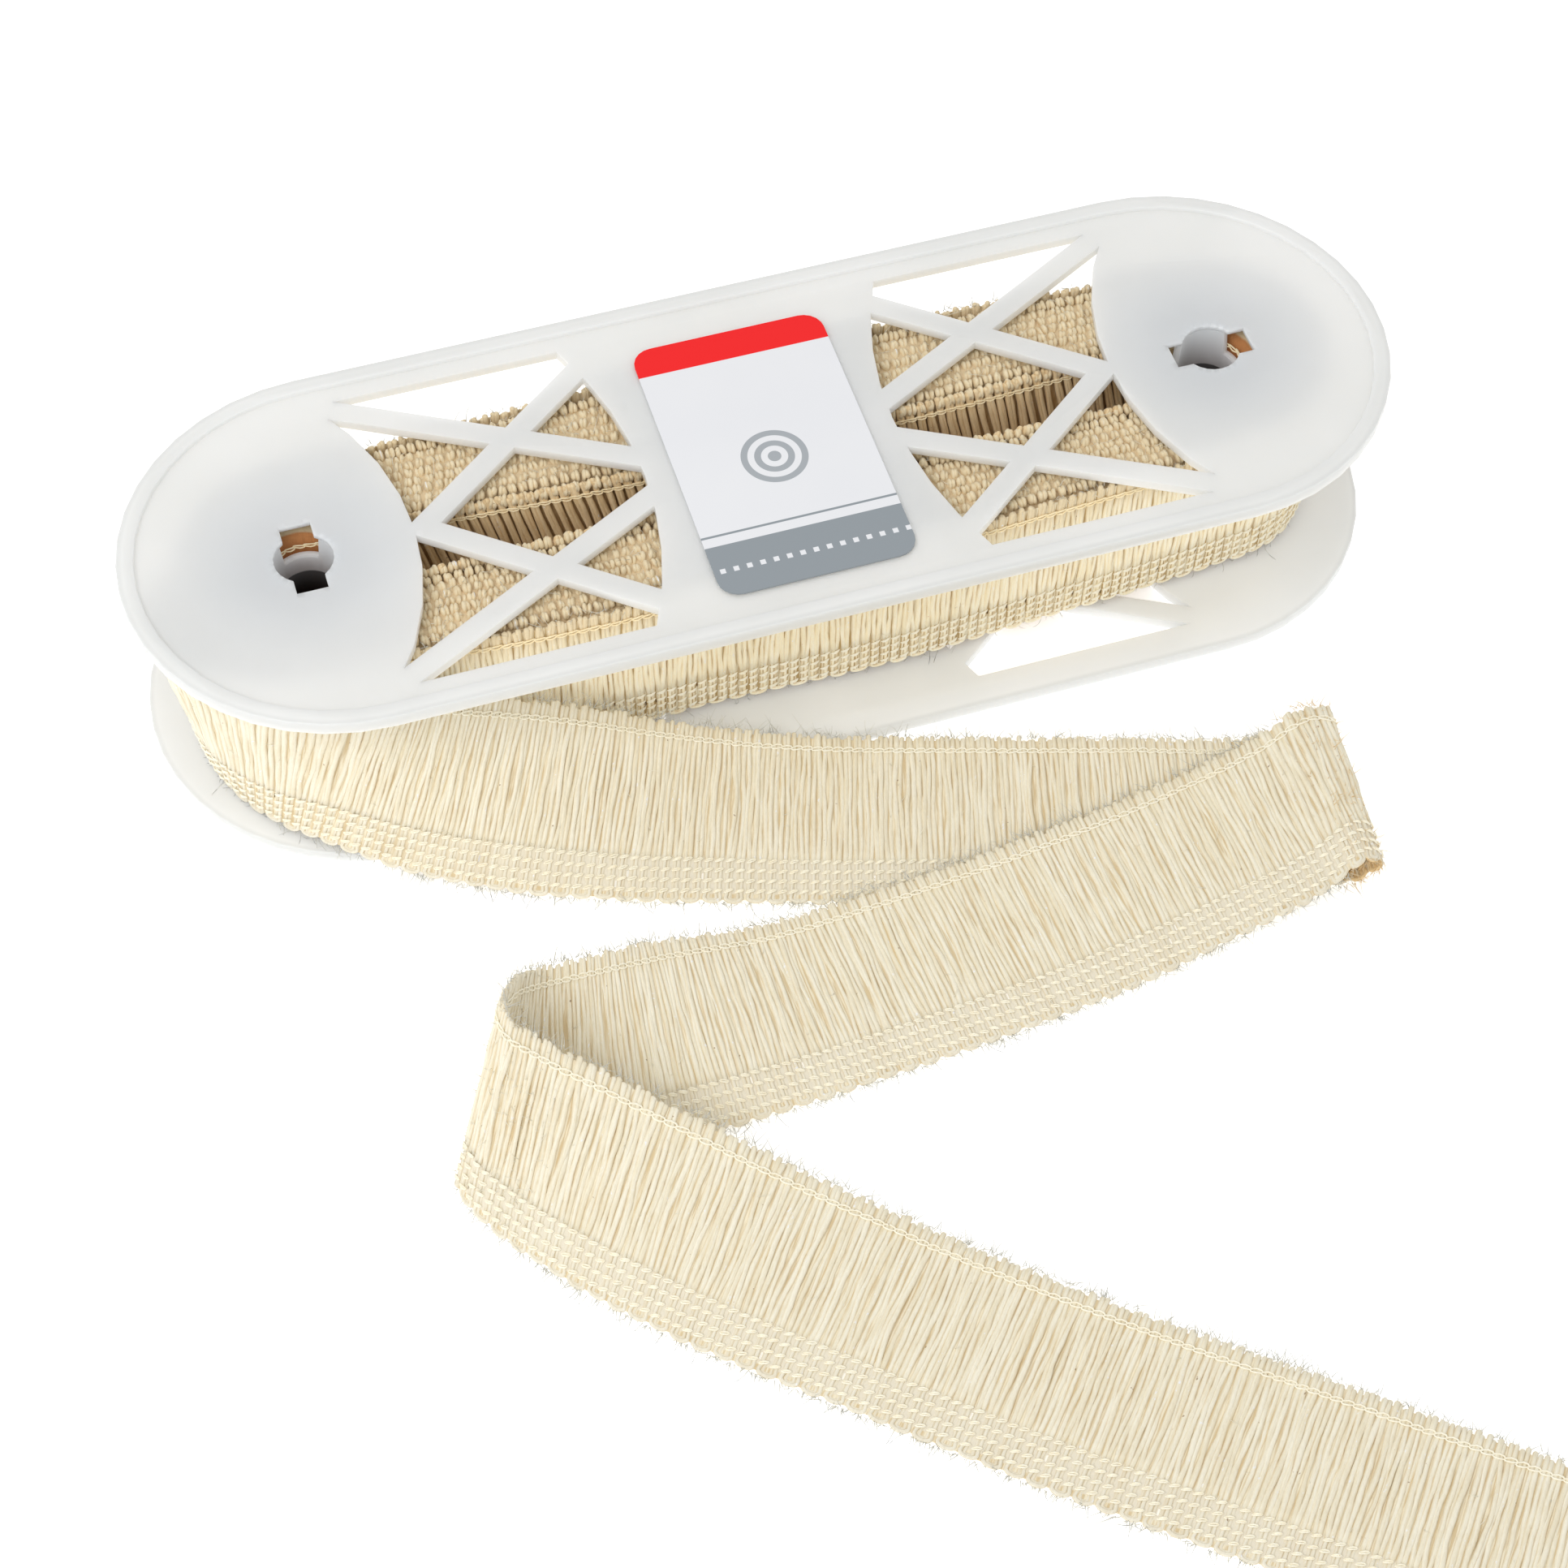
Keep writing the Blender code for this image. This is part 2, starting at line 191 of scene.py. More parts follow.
class Finish:
    """A material, and the one way to add nodes to it."""

    def __init__(self, name, roughness=0.5):
        self.material = bpy.data.materials.new(name)
        self.material.use_nodes = True
        self.tree = self.material.node_tree
        self.shader = self.tree.nodes["Principled BSDF"]
        self.set("Roughness", roughness)

    def node(self, kind, settings, sockets, out=0, whole=False):
        """A node of a kind: its settings first, then its sockets, in order or by name."""
        node = self.tree.nodes.new(kind)
        for key, value in settings.items():
            setattr(node, key, value)
        named = sockets.items() if isinstance(sockets, dict) else enumerate(sockets)
        for key, value in named:
            self.fill(node.inputs[key], value)
        return node if whole else Value(self, node.outputs[out])

    def fill(self, socket, value):
        if isinstance(value, Value):
            self.tree.links.new(value.socket, socket)
        elif isinstance(value, (tuple, list)) and len(value) == 3 and socket.type == "RGBA":
            socket.default_value = (*value, 1.0)
        else:
            socket.default_value = value

    def set(self, name, value):
        self.fill(self.shader.inputs[name], value)

    def attribute(self, name, out="Fac"):
        return self.node("ShaderNodeAttribute", {"attribute_name": name}, [], out)

    def place(self):
        """Object coordinates, in millimetres."""
        spot = self.node("ShaderNodeTexCoord", {}, [], out="Object")
        return self.node("ShaderNodeVectorMath", {"operation": "SCALE"}, {0: spot, "Scale": 1 / MM})

    def noise(self, x, y, z, detail=2.0, rough=0.5):
        """Noise that is stretched by the factors that x, y and z bring with them."""
        where = self.node("ShaderNodeCombineXYZ", {}, [x, y, z])
        sockets = {"Vector": where, "Scale": 1.0, "Detail": detail, "Roughness": rough}
        return self.node("ShaderNodeTexNoise", {}, sockets)

    def mix(self, share, first, second):
        """A colour between two others."""
        return self.node(
            "ShaderNodeMix", {"data_type": "RGBA"}, {0: share, 6: first, 7: second}, out=2
        )

    def bump(self, height, strength, depth):
        """Raises the surface by a height from 0 to 1, depth millimetres deep."""
        sockets = {"Height": height, "Strength": strength, "Distance": depth * MM}
        self.set("Normal", self.node("ShaderNodeBump", {}, sockets))


print("shader helpers ready")

# %% [markdown]
# ## The floor
# The floor is part of the studio and not of the trim.

# %% Lay the floor
def make_floor():
    bpy.ops.mesh.primitive_plane_add(size=FLOOR_SIZE, location=(0, 0, -GAP * MM))
    floor = bpy.context.object
    floor.name = "floor"
    finish = Finish("pale floor", 0.9)
    finish.set("Base Color", (0.97, 0.97, 0.97))
    finish.set("Specular IOR Level", 0.1)
    finish.set("Emission Color", (1.0, 1.0, 1.0))
    finish.set("Emission Strength", FLOOR_GLOW)
    floor.data.materials.append(finish.material)
    return floor


make_floor()
print("floor laid,", FLOOR_SIZE, "m wide")

# %% [markdown]
# ## Yarn, as a finish
# The yarn is two thin cotton plies twisted together, cream, with painted warm shade between its
# neighbours. Every yarn vertex carries where it lies on the trim (s along it, v across it, h above
# its middle, in millimetres), how light its yarn is, and whether it is on the yarn's crown or on its
# flank. The twist is an oblique wave in s and v. The flanks get painted ochre shade, and the inside
# of the right fold a painted golden glow, where light goes through the cotton. The outer turn has a
# faint painted glow near its heading and painted shade towards its tips. A few yarns hold a shiny
# white filament, its white partly a painted highlight.

# %% Define the yarn finishes
BLACK = (0.0, 0.0, 0.0)
SPECK = (0.25, 0.13, 0.05)
FILAMENT_AND_GLINT = (0.95, 0.95, 0.97)
FOLD_GLOW = (0.86, 0.6, 0.27)
FOLD_X = 84.0
FOLD_Y = (-135.0, -55.0)


def inside_fold(finish, h):
    """1 on the inner face of the right fold, where light comes through the cotton."""
    x, y = finish.place().parts()[:2]
    front, back = FOLD_Y
    beside = y.between(front - 5.0, front) * (1.0 - y.between(back, back + 5.0))
    return x.between(FOLD_X - 2.0, FOLD_X + 1.0) * beside * h.between(-0.05, 0.2)


def yarn_finish(name, light, shade, gap_shade, gap_shade_share=0.85, plain=False, tips=None):
    """Twisted cotton. A plain yarn has no relief and no filaments; tips is the colour of painted shade
    towards the cut ends.
    """
    finish = Finish(name)
    s, v, h = finish.attribute("lay", "Vector").parts()
    tone = finish.attribute("tone")
    crown = finish.attribute("crown")

    streaks = finish.noise(s * 2.3, v * 0.17, h * 0.8, 3.0)
    fibres = finish.noise(s * 7.0, v * 1.6, h * 7.0, 3.0, 0.6)
    blotches = finish.noise(s * 0.1, v * 0.12, h * 0.1, 2.0)
    ply = ((s * 5.2 + v * 3.9 + h * 3.0).sine() + 1.0) * 0.5

    pale = tone * 0.4 + streaks.between(0.35, 0.65) * 0.55 + blotches * 0.3 - 0.25
    pale = pale + fibres.between(0.3, 0.7) * 0.3
    colour = finish.mix(pale.between(0.0, 1.0), shade, light)
    # painted shade: ochre on the yarn flanks, where neighbours meet, stronger in patches
    gap_shade_spots = finish.noise(s * 0.62, v * 0.085, 5.0, 2.0).between(0.46, 0.64)
    painted_gap_shade = (1.0 - crown.between(0.15, 0.9)) * (0.3 + gap_shade_spots * 0.7) * gap_shade_share
    colour = finish.mix(painted_gap_shade, colour, gap_shade)
    if tips is None:
        colour = finish.mix(inside_fold(finish, h) * 0.8, colour, FOLD_GLOW)
    else:
        # painted shade: towards the cut ends, in the upper flange's shade, the yarn darkens to the tips
        # colour
        colour = finish.mix(v.between(28.0, 35.0) * 0.8, colour, tips)
        # painted light: a faint glow from the heading up, none at the tips
        finish.set("Emission Color", finish.mix(v.between(24.0, 31.0), colour, BLACK))
        finish.set("Emission Strength", 0.1)
    specks = finish.noise(s * 0.9, v * 0.9, h * 0.9, 1.0)
    colour = finish.mix(specks.between(0.79, 0.83) * 0.7, colour, SPECK)
    rough = 0.86 - ply * 0.06
    if not plain:
        # partly painted highlight: shiny filaments, smoother, with their glints painted white
        run = finish.noise(s * 0.95, v * 0.16, 3.0, 1.0).between(0.66, 0.7)
        dash = finish.noise(s * 2.5, v * 1.4, 9.0, 1.0).between(0.58, 0.64)
        glint = run * dash * crown
        colour = finish.mix(glint, colour, FILAMENT_AND_GLINT)
        rough = rough - glint * 0.6
        finish.bump(ply * 0.25 + streaks * 0.6 + fibres * 0.7, 0.6, 0.16)
    finish.set("Base Color", colour)
    finish.set("Roughness", rough)
    finish.set("Sheen Weight", 0.15)
    finish.set("Sheen Roughness", 0.5)
    finish.set("Specular IOR Level", 0.25)
    return finish.material


def painted_shade_finish(name, pale_from, shade):
    """Painted shade between the yarns: ochre, but pale in the heading from a place along the trim on."""
    finish = Finish(name, 0.9)
    s, v, h = finish.attribute("lay", "Vector").parts()
    mottle = finish.noise(s * 2.0, v * 1.2, h, 3.0)
    streaks = finish.noise(s * 2.4, v * 0.14, h, 3.0).between(0.38, 0.62)
    pale = finish.mix(mottle, (0.78, 0.72, 0.58), (0.88, 0.82, 0.69))
    ochre_shade = finish.mix(streaks, shade, (0.9, 0.82, 0.63))
    in_fringe = v.between(HEADING_WIDTH, HEADING_WIDTH + 1.0)
    in_heading = v.between(1.9, 2.3) * (1.0 - in_fringe)
    on_floor = s.between(pale_from, pale_from + 60.0)
    colour = finish.mix(in_heading * on_floor, ochre_shade, pale)
    finish.set("Base Color", finish.mix(inside_fold(finish, h), colour, FOLD_GLOW))
    finish.bump(streaks * in_fringe, 0.4, 0.3)
    return finish.material


YARN_LIGHT = (0.94, 0.89, 0.74)
YARN_SHADE = (0.86, 0.78, 0.59)
YARN_GAP_SHADE = (0.68, 0.5, 0.26)
PALE_FROM = 40.0
NOWHERE = 10000.0

yarn = yarn_finish("cream yarn", YARN_LIGHT, YARN_SHADE, YARN_GAP_SHADE)
heading_yarn = yarn_finish("heading yarn", (0.9, 0.85, 0.71), (0.84, 0.77, 0.61), (0.72, 0.58, 0.36), 0.7)
# the outer turn is a lit copy of the cream yarn: brighter, with painted shade at its tips and a painted
# glow
lit_outer_yarn = yarn_finish(
    "outer turn", (1.0, 0.93, 0.74), (0.96, 0.85, 0.6), (0.55, 0.37, 0.16), 0.95,
    tips=(0.8, 0.65, 0.42),
)
# painted shade: the wound yarn ends are a darker, oranger copy of the cream yarn
shaded_wound_yarn = yarn_finish("shaded wound yarn", (0.91, 0.79, 0.56), (0.8, 0.66, 0.43), (0.62, 0.43, 0.22), 0.6)
# painted shade: the inner turn is an orange copy of the cream yarn, deep in the winding's shade
shaded_inner_yarn = yarn_finish("inner turn", (0.93, 0.75, 0.48), (0.8, 0.6, 0.34), (0.55, 0.33, 0.13), 0.8)
thread = yarn_finish("stitch thread", (1.0, 0.96, 0.82), (1.0, 0.93, 0.75), YARN_LIGHT, 0.1, True)
# painted shade: the wound thread is a golden copy of the stitch thread
shaded_wound_thread = yarn_finish("shaded wound thread", (1.0, 0.88, 0.62), (0.96, 0.8, 0.5), YARN_LIGHT, 0.1, True)
# painted shade: the stray fibres' darker colour is grey
fibre = yarn_finish("stray fibre", YARN_LIGHT, (0.64, 0.64, 0.59), YARN_LIGHT, 0.0, True)
# painted shade: the sheets under the yarns; the wound one is darker still
laid_shade_material = painted_shade_finish("painted shade below", PALE_FROM, (0.7, 0.56, 0.34))
wound_shade_material = painted_shade_finish("wound painted shade below", NOWHERE, (0.52, 0.36, 0.16))
print("yarn finishes made")

# %% [markdown]
# ## The course of the trim
# The trim was made flat and then laid in folds. The surface that it lies in is kept as a short
# table: for each place where the course turns, where the heading's edge is, and which way the
# yarns point. Smooth cubic curves join the rows. A point of the flat trim at s along, v across and
# h above its middle then has one place in space. The winding's turns are surfaces of the same
# kind, so all yarns are laid by the same code.

# %% Write down the course
COURSE_COLUMNS = ("x", "y", "under", "heads", "leans", "part")
COURSE = (
    (-116.7, 4.0, ON_FLANGE, 180.0, 87.0, "leaving"),
    (-116.6, -6.0, ON_FLANGE, 185.0, 82.0, "leaving"),
    (-114.9, -16.2, ON_FLANGE, 190.0, 85.0, "leaving"),
    (-108.8, -27.4, ON_FLANGE, 15.0, 83.0, "leaving"),
    (-98.8, -38.1, 3.6, 28.0, 64.0, "leaving"),
    (-85.3, -47.3, 0.9, 48.0, 51.0, "lying_back"),
    (-68.0, -56.7, 0.0, 60.0, 35.5, "turning_down"),
    (-50.0, -64.3, 0.0, 66.0, 19.5, "settling"),
    (-30.0, -70.9, 0.0, 70.0, 9.0, "settling"),
    (-10.0, -77.2, 0.0, 72.0, 5.0, "first_pass"),
    (12.0, -83.4, 0.0, 73.0, 3.0, "first_pass"),
    (45.0, -92.6, 0.0, 75.0, 1.0, "first_pass"),
    (76.0, -100.6, 0.0, 80.0, 0.0, "right_fold"),
    (87.5, -101.3, 0.6, 83.0, 0.5, "right_fold"),
    (90.8, -100.8, 3.0, 83.5, 1.0, "right_fold"),
    (88.5, -100.7, 5.4, 86.0, 0.5, "right_fold"),
    (78.0, -104.0, 4.2, 90.5, 0.5, "second_pass"),
    (60.0, -107.3, 2.2, 92.5, 1.0, "second_pass"),
    (30.0, -112.0, 0.5, 95.0, 4.5, "second_pass"),
    (0.0, -114.7, 0.0, 95.0, 5.0, "second_pass"),
    (-28.0, -116.5, 0.0, 92.0, 8.0, "second_pass"),
    (-48.0, -117.2, 0.0, 88.0, 21.0, "left_fold"),
    (-66.0, -116.6, 0.0, 78.5, 30.0, "left_fold"),
    (-82.0, -115.0, 0.3, 68.5, 32.0, "left_turn"),
    (-90.5, -113.9, 1.8, 57.0, 41.5, "left_turn"),
    (-93.7, -115.4, 4.0, 50.5, 49.5, "left_turn"),
    (-93.1, -119.4, 4.0, 51.5, 51.0, "left_turn"),
    (-89.0, -126.4, 2.4, 54.5, 45.0, "left_return"),
    (-79.7, -138.1, 0.4, 54.0, 31.0, "left_return"),
    (-65.9, -152.6, 0.0, 51.5, 16.5, "third_pass"),
    (-42.7, -173.0, 0.0, 49.0, 4.5, "third_pass"),
    (-13.9, -197.8, 0.0, 49.0, 2.0, "third_pass"),
    (22.9, -227.0, 0.0, 50.0, 0.5, "third_pass"),
    (61.0, -257.4, 0.0, 51.0, 0.0, "third_pass"),
)
FLOOR_CLEAR = 0.04
COURSE_PROBE = 0.4
print("rows in the course:", len(COURSE))


# %% Describe the surface of the loose end
class Course:
    """The surface of the loose end. Everything is in millimetres and works on whole arrays."""

    def __init__(self, rows):
        table = [dict(zip(COURSE_COLUMNS, row)) for row in rows]
        values = []
        for row in table:
            heads, leans = math.radians(row["heads"]), math.radians(row["leans"])
            level = math.cos(leans)
            edge = (row["x"], row["y"], row["under"] + CLOTH / 2 * level)
            strand = (level * math.cos(heads), level * math.sin(heads), math.sin(leans))
            values.append(edge + strand)
        self.values = np.array(values)
        steps = np.linalg.norm(np.diff(self.values[:, :3], axis=0), axis=1)
        self.along = np.concatenate([[0.0], np.cumsum(steps)])
        self.slopes = np.gradient(self.values, self.along, axis=0)
        self.length = float(self.along[-1])
        self.starts = {}
        for row, s in zip(table, self.along):
            self.starts.setdefault(row["part"], float(s))

    def middle(self, s, v):
        """Places on the middle layer, and the way the yarns point there."""
        k = np.clip(np.searchsorted(self.along, s) - 1, 0, len(self.along) - 2)
        span = (self.along[k + 1] - self.along[k])[..., None]
        t = (s - self.along[k])[..., None] / span
        m, n = self.slopes[k] * span, self.slopes[k + 1] * span
        at = (2 * t**3 - 3 * t**2 + 1) * self.values[k] + (t**3 - 2 * t**2 + t) * m
        at = at + (3 * t**2 - 2 * t**3) * self.values[k + 1] + (t**3 - t**2) * n
        strand = at[..., 3:] / np.linalg.norm(at[..., 3:], axis=-1, keepdims=True)
        spot = at[..., :3] + v[..., None] * strand
        spot[..., 2] = np.maximum(spot[..., 2], CLOTH / 2)
        return spot, strand

    def normal(self, s, v):
        ahead, strand = self.middle(s + COURSE_PROBE, v)
        behind, _ = self.middle(s - COURSE_PROBE, v)
        normal = np.cross(ahead - behind, strand)
        return normal / np.linalg.norm(normal, axis=-1, keepdims=True)

    def lay(self, s, v, h):
        spot, _ = self.middle(s, v)
        spot = spot + h[..., None] * self.normal(s, v)
        spot[..., 2] = np.maximum(spot[..., 2], FLOOR_CLEAR)
        return spot


course = Course(COURSE)
print(f"loose end {course.length:.0f} mm")

# %% Describe the surface of a turn of the winding
SIDE_POINTS = 61
END_POINTS = 31
TURN_PROBE = 0.5


class Turn:
    """One turn of the winding, standing on its edge: share 0 is the inner wall and 1 the outer."""

    def __init__(self, share, base=ON_FLANGE + 0.3, skew=0.0):
        self.base = base
        self.skew = skew
        sides = np.linspace(-POST_X, POST_X, SIDE_POINTS)
        front = [(x, -self.reach(x, share, -1)) for x in sides]
        back = [(x, self.reach(x, share, 1)) for x in sides[::-1]]
        ends = []
        for side, middle, first in (("right", POST_X, -90), ("left", -POST_X, 90)):
            angles = np.radians(np.linspace(first, first + 180, END_POINTS)[1:-1])
            post = WOUND_INNER[side] + share * (WOUND_OUTER[side] - WOUND_INNER[side])
            ends.append([(middle + post * math.cos(a), post * math.sin(a)) for a in angles])
        loop = np.array(front + ends[0] + back + ends[1] + front[:1])
        steps = np.linalg.norm(np.diff(loop, axis=0), axis=1)
        self.loop = loop
        self.along = np.concatenate([[0.0], np.cumsum(steps)])
        self.length = float(self.along[-1])

    def reach(self, x, share, way):
        middle = 1 - (x / POST_X) ** 2
        side = "right" if x > 0 else "left"
        inner, outer = (w[side] + (w["middle"] - w[side]) * middle for w in (WOUND_INNER, WOUND_OUTER))
        inner_y = way * inner - WOUND_SAG * middle
        wave = WOUND_WAVE["depth"] * math.sin(math.tau * x / WOUND_WAVE["length"])
        outer_y = way * outer - wave * middle
        return way * (inner_y + share * (outer_y - inner_y))

    def xy(self, s):
        s = np.mod(s, self.length)
        x = np.interp(s, self.along, self.loop[:, 0])
        y = np.interp(s, self.along, self.loop[:, 1])
        return np.stack([x, y], axis=-1)

    def outward(self, s):
        along = self.xy(s + TURN_PROBE) - self.xy(s - TURN_PROBE)
        out = np.stack([along[..., 1], -along[..., 0]], axis=-1)
        return out / np.linalg.norm(out, axis=-1, keepdims=True)

    def normal(self, s, v):
        out = self.outward(s)
        return np.concatenate([out, np.zeros_like(out[..., :1])], axis=-1)

    def middle(self, s, v):
        places = self.xy(s + self.skew * (v - SAFETY_ROW))
        spot = np.concatenate([places, (self.base + v)[..., None]], axis=-1)
        strand = np.zeros_like(spot)
        strand[..., 2] = 1.0
        return spot, strand

    def lay(self, s, v, h):
        return self.middle(s, v)[0] + h[..., None] * self.normal(s, v)


outer_turn = Turn(0.965)
inner_turn = Turn(0.035, skew=0.22)
print(f"outer turn {outer_turn.length:.0f} mm, inner turn {inner_turn.length:.0f} mm")

# %% [markdown]
# ## Copies as one mesh
# A yarn, a loop and a stitch are each modelled once, flat, and then repeated hundreds of times.
# Hundreds of objects would be slow, so the copies are joined as they are made: the pattern's
# vertices are read into an array, bent copy by copy, and written out as one mesh. The pattern is
# deleted afterwards.

# %% Read a pattern and write its copies
def only(piece=None):
    """Leaves nothing selected, or only this piece."""
    bpy.ops.object.select_all(action="DESELECT")
    if piece is not None:
        piece.select_set(True)
        bpy.context.view_layer.objects.active = piece


def apply(piece, kind, **settings):
    """Adds a modifier to a piece and applies it."""
    only(piece)
    modifier = piece.modifiers.new(kind.lower(), kind)
    for key, value in settings.items():
        setattr(modifier, key, value)
    bpy.ops.object.modifier_apply(modifier=modifier.name)


class Pattern:
    """The vertices, in millimetres, and faces of a piece that was modelled once."""

    def __init__(self, piece):
        self.spots = np.array([v.co for v in piece.data.vertices]) / MM
        self.sizes = np.array([len(f.vertices) for f in piece.data.polygons])
        self.corners = np.array([i for f in piece.data.polygons for i in f.vertices])
        bpy.data.objects.remove(piece)

    def parts(self):
        """x, y and z of the vertices, as rows that many copies share."""
        return [self.spots[None, :, k] for k in range(3)]


def draw(count, columns):
    """Random numbers from -1 to 1: a column for each thing that varies, a row for each copy."""
    return np.hsplit(random.uniform(-1, 1, (count, columns)), columns)


def spread(surface, per_loop):
    """How many things lie along a surface, so many to a loop, and how far apart they are."""
    count = per_loop * int(surface.length / LOOP_PITCH)
    return count, surface.length / count


def give_attributes(mesh, extras):
    """Stores what the finishes read at each vertex: its lay is a vector, the rest are numbers."""
    for key, value in extras.items():
        kind, field = ("FLOAT_VECTOR", "vector") if key == "lay" else ("FLOAT", "value")
        attribute = mesh.attributes.new(key, kind, "POINT")
        attribute.data.foreach_set(field, np.ascontiguousarray(value, np.float32).ravel())


def joined(name, pattern, spots, extras, material):
    """One mesh of many copies of a pattern. spots is copies x vertices x 3, in millimetres."""
    copies, size, _ = spots.shape
    mesh = bpy.data.meshes.new(name)
    corners = (pattern.corners[None, :] + size * np.arange(copies)[:, None]).ravel()
    sizes = np.tile(pattern.sizes, copies)
    mesh.vertices.add(copies * size)
    mesh.vertices.foreach_set("co", (spots * MM).ravel())
    mesh.loops.add(len(corners))
    mesh.loops.foreach_set("vertex_index", corners)
    mesh.polygons.add(len(sizes))
    mesh.polygons.foreach_set("loop_start", np.concatenate([[0], np.cumsum(sizes)[:-1]]))
    mesh.update(calc_edges=True)
    mesh.shade_smooth()
    give_attributes(mesh, extras)
    mesh.materials.append(material)
    piece = bpy.data.objects.new(name, mesh)
    bpy.context.scene.collection.objects.link(piece)
    return piece


def laid(name, pattern, surface, places, tone, crown, material):
    """Copies of a pattern laid on a surface. places holds s, v and h for each vertex."""
    shape = places[0].shape
    extras = {
        "lay": np.stack(places, axis=-1),
        "tone": np.broadcast_to(tone, shape),
        "crown": np.broadcast_to(crown, shape),
    }
    return joined(name, pattern, surface.lay(*places), extras, material)


def settle(piece, slot, *nodes):
    """A finished piece rides on the one body, and may stand for nodes of the frame."""
    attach(piece, "root")
    if nodes:
        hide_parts(*nodes)
    return piece


print("copying helpers ready")

# %% [markdown]
# ## One fringe yarn
# A yarn starts as a six-sided cylinder as long as the fringe, cut into rings by subdividing its
# long edges. The copies are then bent: neighbours crowd together and part again, each wavers a
# little, and its cut end is a little fluffy and never quite level with the next.

# %% Model one fringe yarn
FRINGE_RINGS = 14


def cut_along(piece, axis, parts):
    """Cuts the edges of a piece that run along an axis into parts, and reads it as a pattern."""
    bpy.ops.object.transform_apply(location=True, rotation=True, scale=True)
    bpy.ops.object.mode_set(mode="EDIT")
    mesh = bmesh.from_edit_mesh(piece.data)
    bpy.ops.mesh.select_all(action="DESELECT")
    for edge in mesh.edges:
        a, b = (vert.co[axis] for vert in edge.verts)
        edge.select_set(abs(a - b) > MM / 2)
    bmesh.update_edit_mesh(piece.data)
    bpy.ops.mesh.subdivide(number_cuts=parts - 1)
    bpy.ops.object.mode_set(mode="OBJECT")
    return Pattern(piece)


def fringe_pattern(rings):
    """A straight yarn: x across it, y from 0 at the heading to 1 at the cut end, z up."""
    bpy.ops.mesh.primitive_cylinder_add(
        vertices=6, radius=YARN / 2 * MM, depth=MM, rotation=(math.pi / 2, 0, 0), location=(0, MM / 2, 0)
    )
    pattern = cut_along(bpy.context.object, 1, rings)
    pattern.last_step = rings / (rings - 1)
    return pattern


fringe_yarn = fringe_pattern(FRINGE_RINGS)
print("one yarn has", len(fringe_yarn.sizes), "faces")

# %% [markdown]
# ## Hanging the yarns
# How far a yarn strays sideways is a smooth field over the trim, so its neighbours stray with it
# and small tufts and gaps form. The field is a sum of a few waves whose phase drifts from the
# heading to the tips. It fades out where the heading and the safety stitch hold the yarns.

# %% Hang the fringe on a surface
LOOSE_YARNS = 0.08
TIP = {"uneven": 0.5, "long": 0.3, "thick": 0.5}
THICK = {"own": 0.13, "along": 0.1}
PINCH = {"reach": 0.7, "thins": 0.12, "flattens": 0.15}
PARTING = 5.0
HELD_APART = 0.12
TAUT_APART = 0.24
STRAY = {"own": 0.17, "slow": 0.14, "quick": 0.07, "loose": 0.8, "end": 0.28}
LIFT = {"own": 0.2, "slow": 0.1, "loose": 0.45, "end": 0.22}
CROWD_WAVES = ((5.3, 0.13, 0.05), (8.9, 0.15, -0.04), (3.1, 0.07, 0.07), (21.0, 0.25, 0.02))


def crowding(s, v):
    """How far, in millimetres, yarns stray sideways at a place of the fringe."""
    down = (v - HEADING_WIDTH) / (SAFETY_ROW - HEADING_WIDTH)
    free = np.sin(np.pi * np.clip(down, 0, 1)) ** 0.8
    stray = sum(
        size * np.sin(math.tau * (s / length + v * drift / 2.0) + number * 1.7 + s * 0.013)
        for number, (length, size, drift) in enumerate(CROWD_WAVES)
    )
    return stray * free


